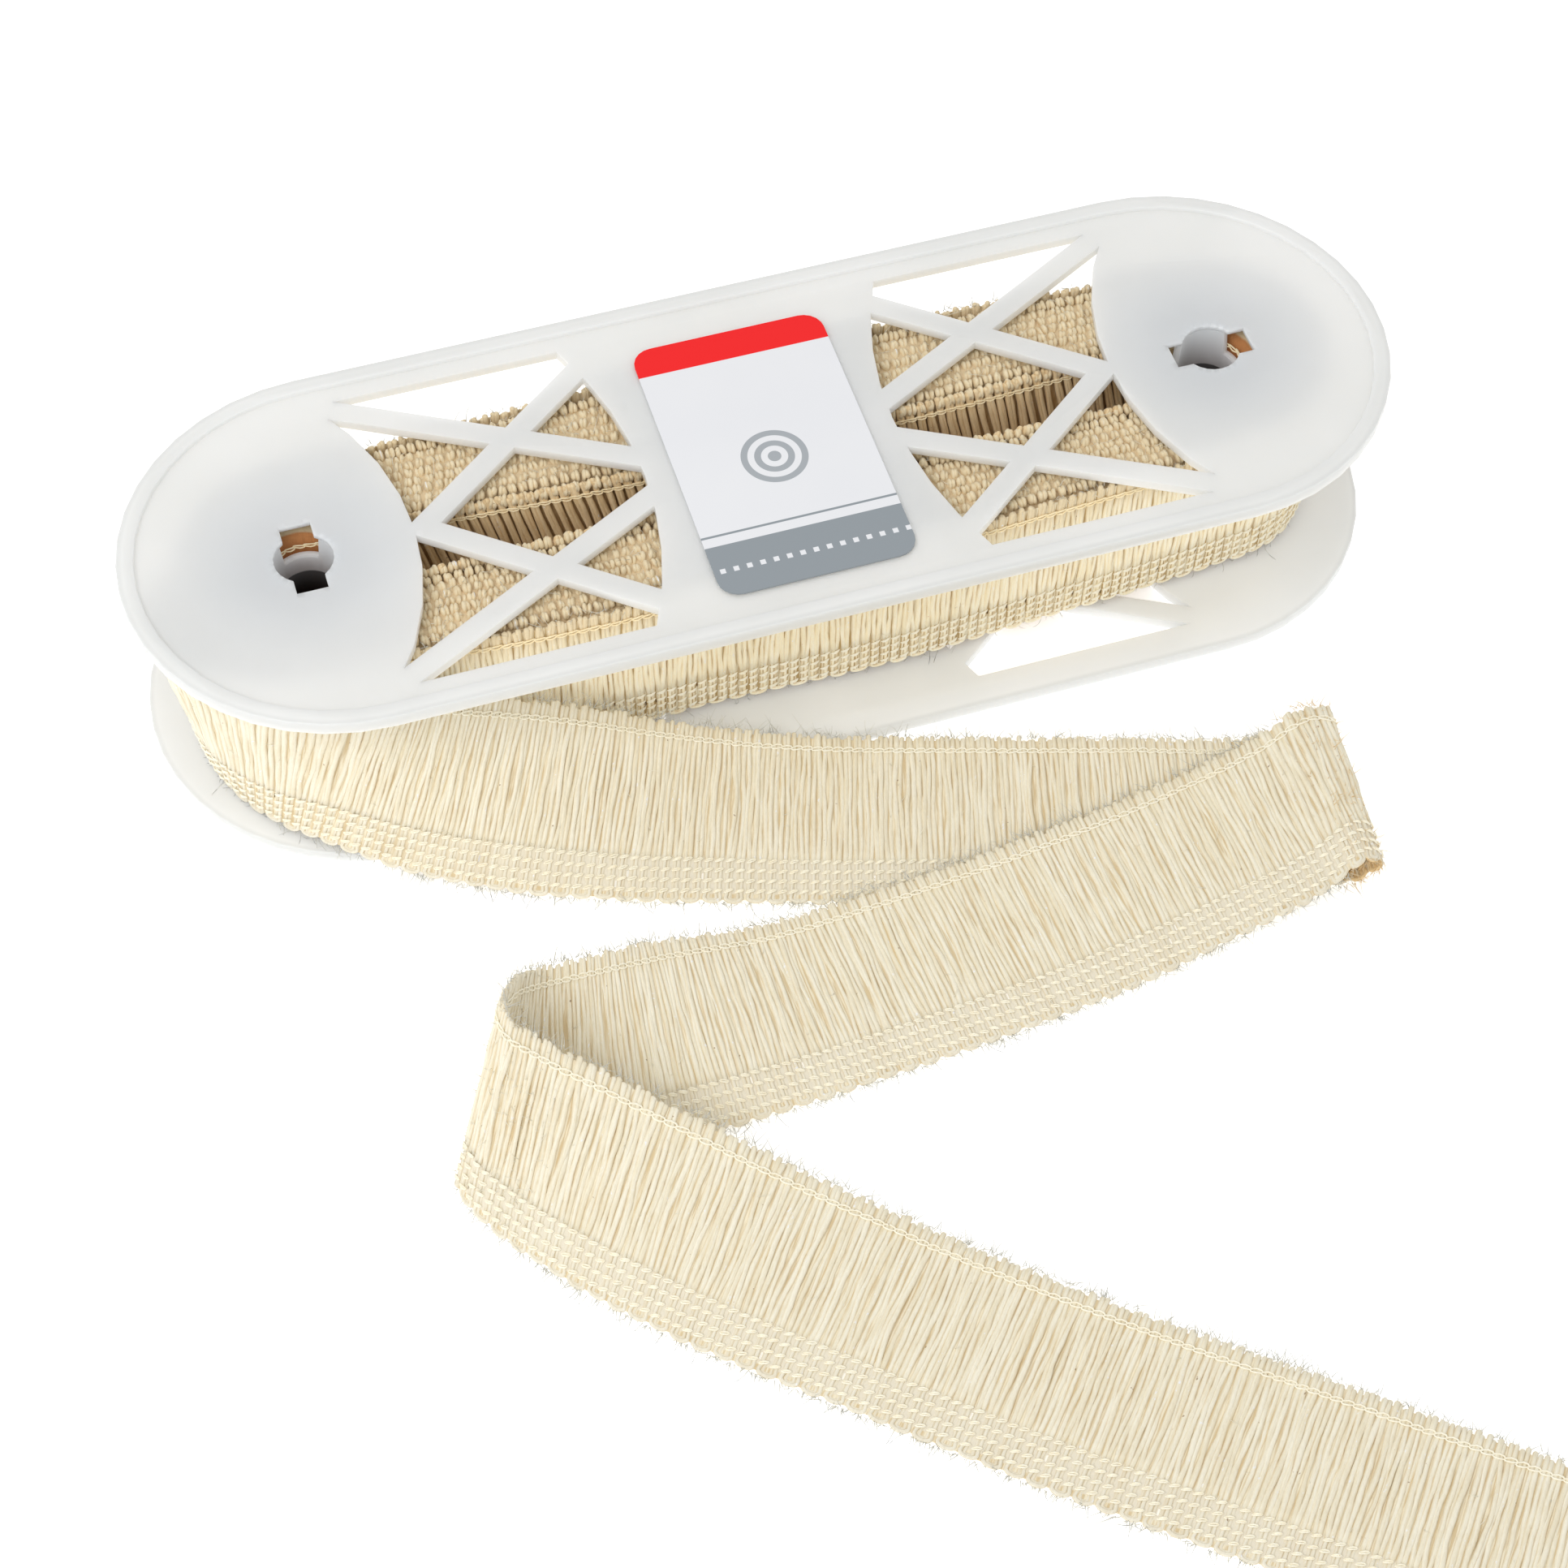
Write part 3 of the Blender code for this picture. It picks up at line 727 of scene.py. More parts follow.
def hang_fringe(
    name, surface, pattern, material, start=0.0, end=math.inf, low=HEADING_WIDTH, held=HELD_APART,
    loose_by=0.0, nodes=(),
):
    """The fringe yarns of a stretch of the trim, one mesh. Two by two they lean to each other:
    by held millimetres where they are sewn, and by loose_by between."""
    count, pitch = spread(surface, 4)
    number = np.arange(count)
    places = (number + 0.5) * pitch
    shown = (places >= start) & (places < end)
    number, places = number[shown], places[shown]
    count = len(places)
    own = draw(count, 10)
    loose = (random.random((count, 1)) < LOOSE_YARNS) * own[9]
    x, y, z = pattern.parts()
    tip = TIPS + TIP["uneven"] * own[0]
    last = y > 0.999
    v = np.where(last, tip, low + (tip - TIP["long"] - low) * y * pattern.last_step)
    free = np.sin(np.pi * np.clip((v - HEADING_WIDTH) / (SAFETY_ROW - HEADING_WIDTH), 0, 1))
    beyond = np.clip((v - SAFETY_ROW) / (TIPS - SAFETY_ROW), 0, 1)
    apart = np.clip(np.minimum(v - HEADING_WIDTH, SAFETY_ROW - v) / PARTING, 0, 1)
    pairing = held + (loose_by - held) * apart * apart * (3 - 2 * apart)

    here = places[:, None]
    legs = np.where(number % 2, -1.0, 1.0)[:, None]
    drift = crowding(here, v) + legs * pairing
    slow = STRAY["slow"] * np.sin(v * 0.26 + 9 * own[2])
    quick = STRAY["quick"] * np.sin(v * 0.9 + 11 * own[5])
    drift += free * (STRAY["own"] * own[1] + (slow + quick) + STRAY["loose"] * loose)
    drift += beyond * STRAY["end"] * own[3]
    slow = LIFT["slow"] * np.sin(v * 0.33 + 7 * own[5])
    rise = free * (LIFT["own"] * own[4] + slow + LIFT["loose"] * abs(loose))
    rise += beyond * LIFT["end"] * own[6]
    thick = (1 + THICK["own"] * own[7]) * (1 + THICK["along"] * np.sin(v * 0.8 + 9 * own[8]))
    pinch = np.exp(-(((v - SAFETY_ROW) / PINCH["reach"]) ** 2))
    thick = thick * (1 - PINCH["thins"] * pinch)
    thick = np.where(last, TIP["thick"] * thick, thick)
    s = here + drift + x * thick
    h = rise + z * thick * (1 - PINCH["flattens"] * pinch)
    tone = random.uniform(0, 1, (count, 1))
    piece = laid(name, pattern, surface, (s, v, h), tone, np.abs(z) / (YARN / 2), material)
    return settle(piece, "yarn", *nodes)


def stretches(surface):
    """The loose end's stretches: name, start and end."""
    names = list(surface.starts)
    ends = [surface.starts[name] for name in names[1:]] + [surface.length]
    return [(name, surface.starts[name], end) for name, end in zip(names, ends)]


fringes = [
    hang_fringe(f"fringe_yarns_{part}", course, fringe_yarn, yarn, start, end, nodes=[f"fringe_{part}"])
    for part, start, end in stretches(course)
]
print("fringe yarns hung in", len(fringes), "stretches")

# %% [markdown]
# ## The heading's loops
# Along the free edge each pair of yarns turns round and goes back up, which gives the edge its row
# of small round loops. One such turn is a curve with a round bevel, made a mesh; two of them, one
# inside the other, are the pattern that repeats every 4.1 mm.

# %% Model one loop of the heading
LOOP_CENTRE = 1.4
LOOP_DEPTH = 0.56
LOOP_BULGE = 1.12
LOOP_FREE = 3.0
LOOP_VARIES = {"aside": 0.12, "down": 0.25, "up": 0.15, "wave": 0.05}
LOOP_TOP = HEADING_WIDTH + 0.4


def loop_line(reach, height):
    """Points of one yarn: down a leg, round the bottom, and up the other leg."""
    down = np.linspace(LOOP_TOP, LOOP_CENTRE, 9)[:-1]
    leg = []
    for v in down:
        puff = min(1.0, *(abs(v - row) for row in STITCH_ROWS))
        leg.append((reach - 0.05 * (1 - puff), v, height * (0.6 + 0.5 * puff)))
    turn = [(LOOP_BULGE * reach * math.cos(a), LOOP_CENTRE - LOOP_DEPTH * reach * math.sin(a), height)
            for a in np.linspace(0, math.pi, 8)]
    back = [(-x, v, h) for x, v, h in reversed(leg)]
    return leg + turn + back


def loop_pattern(thick):
    bpy.ops.curve.primitive_bezier_curve_add()
    piece = bpy.context.object
    piece.data.splines.clear()
    for reach, height in ((LEG + PAIR, 0.1), (LEG - PAIR, -0.12)):
        line = loop_line(reach, height)
        spline = piece.data.splines.new("POLY")
        spline.points.add(len(line) - 1)
        for point, (x, v, h) in zip(spline.points, line):
            point.co = (x * MM, v * MM, h * MM, 1.0)
    piece.data.bevel_depth = thick / 2 * MM
    piece.data.bevel_resolution = 1
    piece.data.use_fill_caps = True
    only(piece)
    bpy.ops.object.convert(target="MESH")
    return Pattern(bpy.context.object)


def work_heading(name, surface, material, thick, nodes=()):
    """The row of loops along the heading, of yarn this thick."""
    loop = loop_pattern(thick)
    count, pitch = spread(surface, 1)
    places = (np.arange(count)[:, None] + 0.5) * pitch
    own = draw(count, 4)
    x, y, z = loop.parts()
    low = np.clip(1 - y / LOOP_FREE, 0, 1)
    s = places + x + low * LOOP_VARIES["aside"] * own[0]
    v = y + low * LOOP_VARIES["down"] * own[1]
    h = z + low * LOOP_VARIES["up"] * own[2] + LOOP_VARIES["wave"] * np.sin(places + y)
    crown = np.clip(np.abs(z) / (thick / 2), 0, 1)
    piece = laid(name, loop, surface, (s, v, h), 0.5 + 0.5 * own[3], crown, material)
    return settle(piece, "heading", *nodes)


heading = work_heading("heading_loops", course, heading_yarn, LOOP_YARN, ["heading"])
print("heading loops worked:", spread(course, 1)[0])

# %% [markdown]
# ## Chain stitches
# Four rows of chain stitch cross the heading, and one more row, the safety stitch, holds the yarns
# near their cut ends. A stitch is a thin ring pulled long and pinched, a torus with few sides. It
# shows on both faces of the trim, so it is laid on both, but not where a face lies on the floor.

# %% Model one stitch and sew the rows
HEADING_STITCH = {"slot": "heading", "rows": STITCH_ROWS, "long": 1.55, "wide": 0.4, "leans": 0.34}
SAFETY_STITCH = {"slot": "yarn", "rows": [SAFETY_ROW], "long": 2.25, "wide": 0.85, "leans": 0.16}
THREAD = 0.18
STITCH_ARCH = 0.7
STITCH_VARIES = {"wide": 0.12, "leans": 0.08, "down": 0.06, "arch": 0.05}
OUTER_FACE = (1,)
INNER_FACE = (-1,)


def stitch_pattern():
    bpy.ops.mesh.primitive_torus_add(
        major_radius=MM, minor_radius=THREAD * MM, major_segments=8, minor_segments=4
    )
    return Pattern(bpy.context.object)


stitch = stitch_pattern()


def sew_rows(name, surface, kind, faces, material):
    """Rows of one kind of chain stitch, on one face or on both."""
    count, pitch = spread(surface, 2)
    places, levels, sides = [], [], []
    for face in faces:
        for row in kind["rows"]:
            places.append((np.arange(count) + 0.5) * pitch)
            levels.append(np.full(count, row))
            sides.append(np.full(count, face))
    places, levels, sides = (np.concatenate(values) for values in (places, levels, sides))
    up = surface.normal(places, levels)[:, 2] * sides
    depth = surface.middle(places, levels)[0][:, 2]
    seen = (up > -0.7) | (depth > 3.0)
    places, levels, sides = (values[seen][:, None] for values in (places, levels, sides))
    own = draw(len(places), 4)
    x, y, z = stitch.parts()
    reach = np.hypot(x, y)
    x, y, swell = x / reach, y / reach, reach - 1
    along = sides * x * (kind["long"] / 2 + swell)
    across = y * (kind["wide"] / 2 * (1 + STITCH_VARIES["wide"] * own[0]) + swell)
    lean = kind["leans"] + STITCH_VARIES["leans"] * own[1]
    s = places + along - across * lean * 0.4
    v = levels + across + along * lean + STITCH_VARIES["down"] * own[2]
    arch = STITCH_ARCH * (1 - 0.4 * x**2) + STITCH_VARIES["arch"] * own[3]
    h = sides * (arch + z)
    piece = laid(name, stitch, surface, (s, v, h), 0.5 + 0.5 * own[3], 1.0, material)
    piece.data.shade_flat()
    return settle(piece, kind["slot"])


both = OUTER_FACE + INNER_FACE
heading_stitches = sew_rows("heading_stitches", course, HEADING_STITCH, both, thread)
safety_stitches = sew_rows("safety_stitches", course, SAFETY_STITCH, both, thread)
print("stitches sewn, faces:", len(heading_stitches.data.polygons) + len(safety_stitches.data.polygons))

# %% [markdown]
# ## Painted shade under the yarns
# Between the yarns one never sees through the fringe. A thin sheet of painted shade fills the gaps,
# in a deeper ochre under the fringe and paler under the heading. Only here and there does a hole
# open between two legs and two rows of stitches. The sheet is a grid, laid on the same surface and
# given its thickness with Solidify.

# %% Lay the sheet under the yarns
SHEET_THICK = 0.24
SHEET_LOW = 1.0
SHEET_HIGH = TIPS - 0.7
HOLE = 0.34
ROW_HALF = 0.4
HOLE_BANDS = (1, 3, 5)
OPEN_HOLES = 0.035


def painted_shade_sheet(name, surface, material):
    """A thin sheet of painted shade on a surface, with a few of the heading's holes cut through it."""
    count, pitch = spread(surface, 2)
    columns = np.array([k * pitch + edge for k in range(count) for edge in (-HOLE / 2, HOLE / 2)])
    columns = np.append(columns[1:], surface.length)
    edges = [SHEET_LOW] + [row + gap for row in STITCH_ROWS for gap in (-ROW_HALF, ROW_HALF)][1:]
    rows = np.array(edges + list(np.linspace(HEADING_WIDTH + 1.8, SHEET_HIGH, 6)))
    bpy.ops.mesh.primitive_grid_add(
        x_subdivisions=len(columns) - 1, y_subdivisions=len(rows) - 1, size=1.0
    )
    piece = bpy.context.object
    piece.name = name
    spots = np.array([v.co for v in piece.data.vertices])
    across = np.round((spots[:, 0] + 0.5) * (len(columns) - 1)).astype(int)
    down = np.round((spots[:, 1] + 0.5) * (len(rows) - 1)).astype(int)
    s, v = columns[across], rows[down]
    flat = np.zeros_like(s)
    piece.data.vertices.foreach_set("co", (surface.lay(s, v, flat) * MM).ravel())
    give_attributes(piece.data, {"lay": np.stack([s, v, flat], axis=-1)})
    bpy.ops.object.mode_set(mode="EDIT")
    mesh = bmesh.from_edit_mesh(piece.data)
    bpy.ops.mesh.select_all(action="DESELECT")
    bpy.ops.mesh.select_mode(type="FACE")
    for face in mesh.faces:
        left = min(across[vert.index] for vert in face.verts)
        low = min(down[vert.index] for vert in face.verts)
        face.select_set(left % 2 == 1 and low in HOLE_BANDS and random.random() < OPEN_HOLES)
    bmesh.update_edit_mesh(piece.data)
    bpy.ops.mesh.delete(type="FACE")
    bpy.ops.object.mode_set(mode="OBJECT")
    apply(piece, "SOLIDIFY", thickness=SHEET_THICK * MM, offset=0.0)
    piece.data.materials.append(material)
    return settle(piece, "yarn")


shade_sheet_under_fringe = painted_shade_sheet("fringe_painted_shade", course, laid_shade_material)
print("sheet under the loose end has", len(shade_sheet_under_fringe.data.polygons), "faces")

# %% [markdown]
# ## The outermost turn of the winding
# The turn that shows from the side is the same trim standing on its heading, so the same yarns,
# loops, stitches and sheet are laid on the winding's outer wall.

# %% Dress the outer turn
WOUND_RINGS = 10
TAUT_YARN = 0.66

outer_fringe = hang_fringe(
    "wound_fringe_yarns", outer_turn, fringe_pattern(WOUND_RINGS), lit_outer_yarn, held=TAUT_APART
)
outer_heading = work_heading("wound_heading_loops", outer_turn, lit_outer_yarn, TAUT_YARN)
outer_stitches = sew_rows("wound_stitches", outer_turn, HEADING_STITCH, OUTER_FACE, thread)
outer_safety = sew_rows("wound_safety_stitches", outer_turn, SAFETY_STITCH, OUTER_FACE, shaded_wound_thread)
outer_shade_sheet = painted_shade_sheet("wound_painted_shade", outer_turn, wound_shade_material)
print("outer turn dressed,", round(outer_turn.length), "mm round")

# %% [markdown]
# ## The body of the winding
# Under the outer turn nine more turns are packed. Only their edges show, through the lattice, so
# the body is one ring of the right shape. A torus already has that topology: its rings are sent
# round the posts, and the points of each ring to the corners of the winding's section.

# %% Build the winding's body
BODY_ROUND = 150
BODY_SECTION = (
    (0.08, 4.5), (0.08, 12.0), (0.08, 20.0), (0.08, 28.0), (0.08, 37.5),
    (0.25, 39.3), (0.5, 39.1), (0.75, 39.3),
    (0.94, 37.5), (0.94, 28.0), (0.94, 20.0), (0.94, 12.0), (0.94, 4.5),
    (0.7, 4.2), (0.45, 4.4), (0.2, 4.2),
)


def winding_body():
    bpy.ops.mesh.primitive_torus_add(
        major_radius=0.1, minor_radius=0.02,
        major_segments=BODY_ROUND, minor_segments=len(BODY_SECTION),
    )
    piece = bpy.context.object
    piece.name = "winding_body"
    walls = {share: Turn(share, 0.0) for share, _ in BODY_SECTION}
    number = np.arange(len(piece.data.vertices))
    around, corner = number // len(BODY_SECTION), number % len(BODY_SECTION)
    spots = np.zeros((len(number), 3))
    for k, (share, z) in enumerate(BODY_SECTION):
        chosen = corner == k
        wall = walls[share]
        s = around[chosen] / BODY_ROUND * wall.length
        spots[chosen] = wall.lay(s, np.full(len(s), z), np.zeros(len(s)))
    piece.data.vertices.foreach_set("co", (spots * MM).ravel())
    only(piece)
    bpy.ops.object.mode_set(mode="EDIT")
    bpy.ops.mesh.select_all(action="SELECT")
    bpy.ops.mesh.normals_make_consistent(inside=False)
    bpy.ops.object.mode_set(mode="OBJECT")
    piece.data.materials.append(packed_yarn_shade_finish())
    piece.data.shade_smooth()
    return piece


def packed_yarn_shade_finish():
    """Packed yarn in painted shade: upright streaks of brown and ochre, darker below the top, and
    orange-brown round the posts.
    """
    finish = Finish("packed yarn in painted shade", 0.95)
    x, y, z = finish.place().parts()
    streaks = finish.noise(x * 1.1, y * 1.1, z * 0.12, 3.0)
    to_post = ((abs(x) - POST_X) ** 2.0 + y**2.0) ** 0.5
    deep_shade = finish.mix(streaks.between(0.35, 0.65), (0.58, 0.39, 0.19), (0.76, 0.56, 0.31))
    # painted shade: darker below 34 mm, lighter from 38 mm up near the top
    colour = finish.mix(z.between(34.0, 38.0), deep_shade, (0.74, 0.59, 0.38))
    # painted shade: orange-brown round the posts, where the notches look down
    colour = finish.mix(to_post.between(9.5, 10.0), (0.58, 0.25, 0.09), colour)
    finish.set("Base Color", colour)
    finish.bump(streaks, 0.8, 0.5)
    return finish.material


body = settle(winding_body(), "yarn", "wound_trim")
print("winding's body has", len(body.data.polygons), "faces")

# %% [markdown]
# ## The ends of the inner turns
# Seen through the lattice, each turn ends in a row of fat, soft yarn ends, close together like
# grains on a cob. One grain is a small sphere pulled long. The rows follow the turns, and every
# grain leans and swells in its own way. Where the plastic hides them there are none.

# %% Pack the yarn ends
GRAIN_PITCH = LOOP_PITCH / 2
GRAIN = {"along": 0.6, "across": 1.18, "up": 1.3}
LOOP_GRAIN = {"along": 1.7, "across": 0.95, "up": 1.6}
VARIES = {
    "lumps": 0.14, "along": 0.12, "across": 0.15, "up": 0.1, "turn": 0.3,
    "leans": 0.16, "shift": 0.18, "tilt": 0.12, "level": 0.3,
}
PAIRED = 0.34
ENDS_TOP = 38.9
LOOPS_TOP = 4.9
SHOWN_FROM = 15.0
SHOWN_TO = 80.0


def grain_pattern():
    bpy.ops.mesh.primitive_uv_sphere_add(segments=7, ring_count=5, radius=MM)
    return Pattern(bpy.context.object)


grain = grain_pattern()


def pack_ends(name, top, pitch, size, paired=0.0):
    """Rows of yarn ends at a height, one row for each inner turn, alone or two by two."""
    all_spots, all_extras = [], {"lay": [], "tone": [], "crown": []}
    for row in range(TURNS - 1):
        wall = Turn((row + 0.45) / TURNS, 0.0)
        places = np.arange(0, wall.length, pitch) + row * 0.37
        if paired:
            places = np.concatenate([places - paired, places + paired])
        x = np.abs(wall.xy(places)[:, 0])
        places = places[(x > SHOWN_FROM) & (x < SHOWN_TO)]
        own = draw(len(places), 8)
        px, py, pz = grain.parts()
        lumps = 1 + VARIES["lumps"] * np.sin(px * 5 + pz * 6 + 9 * own[5]) * np.sin(py * 7 + 5 * own[6])
        swell = lumps * (1 + VARIES["along"] * own[0])
        along = px * size["along"] * swell
        across = -py * size["across"] * lumps * (1 + VARIES["across"] * own[1])
        up = pz * size["up"] * (1 + VARIES["up"] * own[2])
        turn = VARIES["turn"] * own[3]
        cos, sin = np.cos(turn), np.sin(turn)
        along, across = along * cos - across * sin, across * cos + along * sin
        s = places[:, None] + along + up * VARIES["leans"] * own[4] + VARIES["shift"] * own[5]
        h = across + up * VARIES["tilt"] * own[6]
        ridge = 0.2 * np.sin(row * 2.4 + places[:, None] * 0.05)
        v = top + up + ridge + VARIES["level"] * own[7]
        all_spots.append(wall.lay(s, v, h))
        all_extras["lay"].append(np.stack([s + row * 17.0, v, h], axis=-1))
        tone = random.uniform(0, 1, (len(places), 1))
        all_extras["tone"].append(np.broadcast_to(tone, s.shape))
        side = np.clip(np.abs(px), 0, 1)
        # crown is 0 on a grain's sides below its top, where the yarn finish paints shade
        all_extras["crown"].append(np.broadcast_to(1 - side * (pz < 0.75), s.shape))
    extras = {key: np.concatenate(value) for key, value in all_extras.items()}
    return joined(name, grain, np.concatenate(all_spots), extras, shaded_wound_yarn)


ends = settle(pack_ends("wound_yarn_ends", ENDS_TOP, GRAIN_PITCH, GRAIN, PAIRED), "yarn")
loops_below = settle(pack_ends("wound_loops_below", LOOPS_TOP, LOOP_PITCH, LOOP_GRAIN), "heading")
print("faces of ends and loops:", len(ends.data.polygons), len(loops_below.data.polygons))

# %% [markdown]
# ## The innermost turn
# Through the gap in the middle one looks down on the inner face of the innermost turn: fluffy ends,
# one row of chain stitch, and yarns that hang below it in the shade.

# %% Dress the innermost turn
INNER_RINGS = 6
INNER_LOW = 1.0
INNER_PARTED = 0.2
END_MARGIN = 5.0

inner_pattern = fringe_pattern(INNER_RINGS)
straight = inner_turn.along[SIDE_POINTS - 1]
back = straight + math.pi * WOUND_INNER["right"]
for side, start in (("front", 0.0), ("back", back)):
    hang_fringe(
        f"inner_fringe_{side}", inner_turn, inner_pattern, shaded_inner_yarn,
        start + END_MARGIN, start + straight - END_MARGIN, INNER_LOW, TAUT_APART, INNER_PARTED,
    )
sew_rows("inner_stitches", inner_turn, SAFETY_STITCH, INNER_FACE, shaded_wound_thread)
print("innermost turn dressed")

# %% [markdown]
# ## The spool
# The spool is moulded in milky plastic. Its solids already have the true shape, so a copy of each
# is cleaned up, its edges are softened with a bevel, and a shallow dish is cut round each hole of
# the upper flange. The dish's cutter is a turned profile, deepest at the hole.

# %% Define the spool's finish
PLASTIC_GLOW = 0.075
END_CENTRE = 83.4
EDGE = 42.0


def milky_plastic():
    finish = Finish("milky plastic")
    x, y, z = finish.place().parts()
    to_hole = ((abs(x) - POST_X) ** 2.0 + y**2.0) ** 0.5
    clouds = finish.noise(x * 0.03, y * 0.03, z * 0.03, 2.0)
    tint = 1.0 - to_hole.between(6.0, 26.0)
    colour = finish.mix(clouds.between(0.3, 0.7), (0.695, 0.705, 0.7), (0.735, 0.742, 0.738))
    # painted shade: a darker blue-grey round each hole, over the dish
    colour = finish.mix(tint * 0.42, colour, (0.56, 0.62, 0.69))
    # painted shade: a darker band round the flanges' rims
    to_middle = ((abs(x) - END_CENTRE).maths("MAXIMUM", 0.0) ** 2.0 + y**2.0) ** 0.5
    colour = finish.mix(to_middle.between(EDGE - 1.4, EDGE - 0.2), colour, (0.6, 0.61, 0.605))
    # painted shade: the bore darkens to grey downwards and is black below 31.5 mm
    bore = 1.0 - to_hole.between(BORE_RADIUS + 0.2, BORE_RADIUS + 0.6)
    bore_shade = bore * (1.0 - z.between(26.0, 42.5))
    colour = finish.mix(bore_shade, colour, (0.34, 0.29, 0.27))
    deep_shade = bore * (1.0 - z.between(31.5, 31.9))
    colour = finish.mix(deep_shade, colour, (0.012, 0.004, 0.001))
    scuffs = finish.noise(x * 0.5, y * 2.6, z, 4.0, 0.7)
    finish.set("Base Color", colour)
    finish.set("Roughness", 0.26 + scuffs * 0.14 + deep_shade * 0.6)
    finish.set("Subsurface Weight", 0.8)
    finish.set("Subsurface Radius", (1.0, 0.95, 0.9))
    finish.set("Subsurface Scale", 0.005)
    finish.set("Coat Weight", 0.15 - deep_shade * 0.15)
    finish.set("Coat Roughness", 0.2)
    # painted light: the plastic glows faintly, for light through its milky walls, but not in the bore
    finish.set("Emission Color", finish.mix(bore_shade, (1.0, 1.0, 1.0), BLACK))
    finish.set("Emission Strength", PLASTIC_GLOW)
    finish.bump(finish.noise(x * 0.08, y * 0.08, z * 0.08, 3.0), 0.25, 0.4)
    return finish.material


plastic = milky_plastic()
print("plastic made")

# %% Soften the flanges and cut the dishes
UPPER_SOFT = 0.3
LOWER_SOFT = 0.5
WELD = 0.000002
FLAT = math.radians(1.0)
CREASE = math.radians(50)


def softened_copy(node, name, width):
    """A copy of a frame node, welded, its flat faces joined and its edges rounded."""
    only(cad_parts[node])
    bpy.ops.object.duplicate()
    piece = bpy.context.object
    piece.name = name
    piece.parent = None
    for key in list(piece.keys()):
        if key.startswith("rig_"):
            del piece[key]
    bpy.ops.object.mode_set(mode="EDIT")
    bpy.ops.mesh.select_all(action="SELECT")
    bpy.ops.mesh.remove_doubles(threshold=WELD)
    bpy.ops.mesh.dissolve_limited(angle_limit=FLAT)
    bpy.ops.object.mode_set(mode="OBJECT")
    round_edges(piece, width, 3)
    piece.data.materials.clear()
    piece.data.materials.append(plastic)
    return piece


def round_edges(piece, width, segments):
    apply(piece, "BEVEL", width=width * MM, segments=segments, limit_method="ANGLE", angle_limit=CREASE)


def finish_flange(piece, node):
    only(piece)
    bpy.ops.object.shade_smooth_by_angle(angle=math.radians(35))
    settle(piece, "spool", node)


DISH_REACH = 24.0
DISH_DEPTH = 1.1
DISH_RINGS = 14


def dish_cutter(side):
    """A turned lens above one hole: its underside is the dish."""
    profile = [(0.0, UPPER_TOP - DISH_DEPTH)]
    inner = BORE_RADIUS * 0.7
    for k in range(1, DISH_RINGS + 1):
        r = inner + (DISH_REACH - inner) * k / DISH_RINGS
        t = (r - BORE_RADIUS) / (DISH_REACH - BORE_RADIUS)
        fall = 0.5 + 0.5 * math.cos(math.pi * min(max(t, 0.0), 1.0))
        profile.append((r, UPPER_TOP + 0.02 - (DISH_DEPTH + 0.02) * fall))
    profile += [(DISH_REACH, UPPER_TOP + 3.0), (0.0, UPPER_TOP + 3.0)]
    bpy.ops.mesh.primitive_circle_add(vertices=3, radius=MM)
    piece = bpy.context.object
    bpy.ops.object.mode_set(mode="EDIT")
    mesh = bmesh.from_edit_mesh(piece.data)
    bmesh.ops.delete(mesh, geom=mesh.verts[:], context="VERTS")
    verts = [mesh.verts.new((r * MM, 0.0, z * MM)) for r, z in profile]
    for a, b in zip(verts, verts[1:]):
        mesh.edges.new((a, b))
    bmesh.update_edit_mesh(piece.data)
    bpy.ops.mesh.select_all(action="SELECT")
    bpy.ops.mesh.spin(steps=72, angle=math.tau, center=(0, 0, 0), axis=(0, 0, 1))
    bpy.ops.mesh.select_all(action="SELECT")
    bpy.ops.mesh.remove_doubles(threshold=WELD)
    bpy.ops.mesh.normals_make_consistent(inside=False)
    bpy.ops.object.mode_set(mode="OBJECT")
    piece.location.x = side * POST_X * MM
    return piece


upper = softened_copy("flange_upper", "upper_flange", UPPER_SOFT)
for side in (-1, 1):
    cutter = dish_cutter(side)
    apply(upper, "BOOLEAN", operation="DIFFERENCE", object=cutter)
    bpy.data.objects.remove(cutter)
finish_flange(upper, "flange_upper")

lower = softened_copy("flange_lower", "lower_flange", LOWER_SOFT)
finish_flange(lower, "flange_lower")
print("flange faces:", len(upper.data.polygons), len(lower.data.polygons))

# %% [markdown]
# ## The posts
# Each post is a tube. It shows only at the hole, where one looks down its bore, so it wants to be
# truly round there. Its top is notched on two sides, under the notches of the flange's hole.

# %% Model the posts
NOTCH = {"half_width": 4.1, "depth": 5.5}


def make_post(name, side):
    low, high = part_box(name)
    bpy.ops.mesh.primitive_cylinder_add(
        vertices=64, radius=POST_RADIUS * MM, depth=high.z - low.z, end_fill_type="NOTHING",
        location=(side * POST_X * MM, 0.0, (low.z + high.z) / 2),
    )
    piece = bpy.context.object
    piece.name = name.replace("post", "spool_post")
    for vert in piece.data.vertices:
        away = vert.co.x if side < 0 else vert.co.y
        if vert.co.z > 0 and abs(away) < NOTCH["half_width"] * MM:
            vert.co.z -= NOTCH["depth"] * MM
    bpy.ops.object.transform_apply(location=True, rotation=True, scale=True)
    apply(piece, "SOLIDIFY", thickness=(POST_RADIUS - BORE_RADIUS) * MM, offset=-1.0)
    round_edges(piece, 0.25, 2)
    bpy.ops.object.shade_smooth_by_angle(angle=math.radians(40))
    piece.data.materials.append(plastic)
    return settle(piece, "spool", name)


posts = [make_post("post_left", -1), make_post("post_right", 1)]
print("posts made:", len(posts))

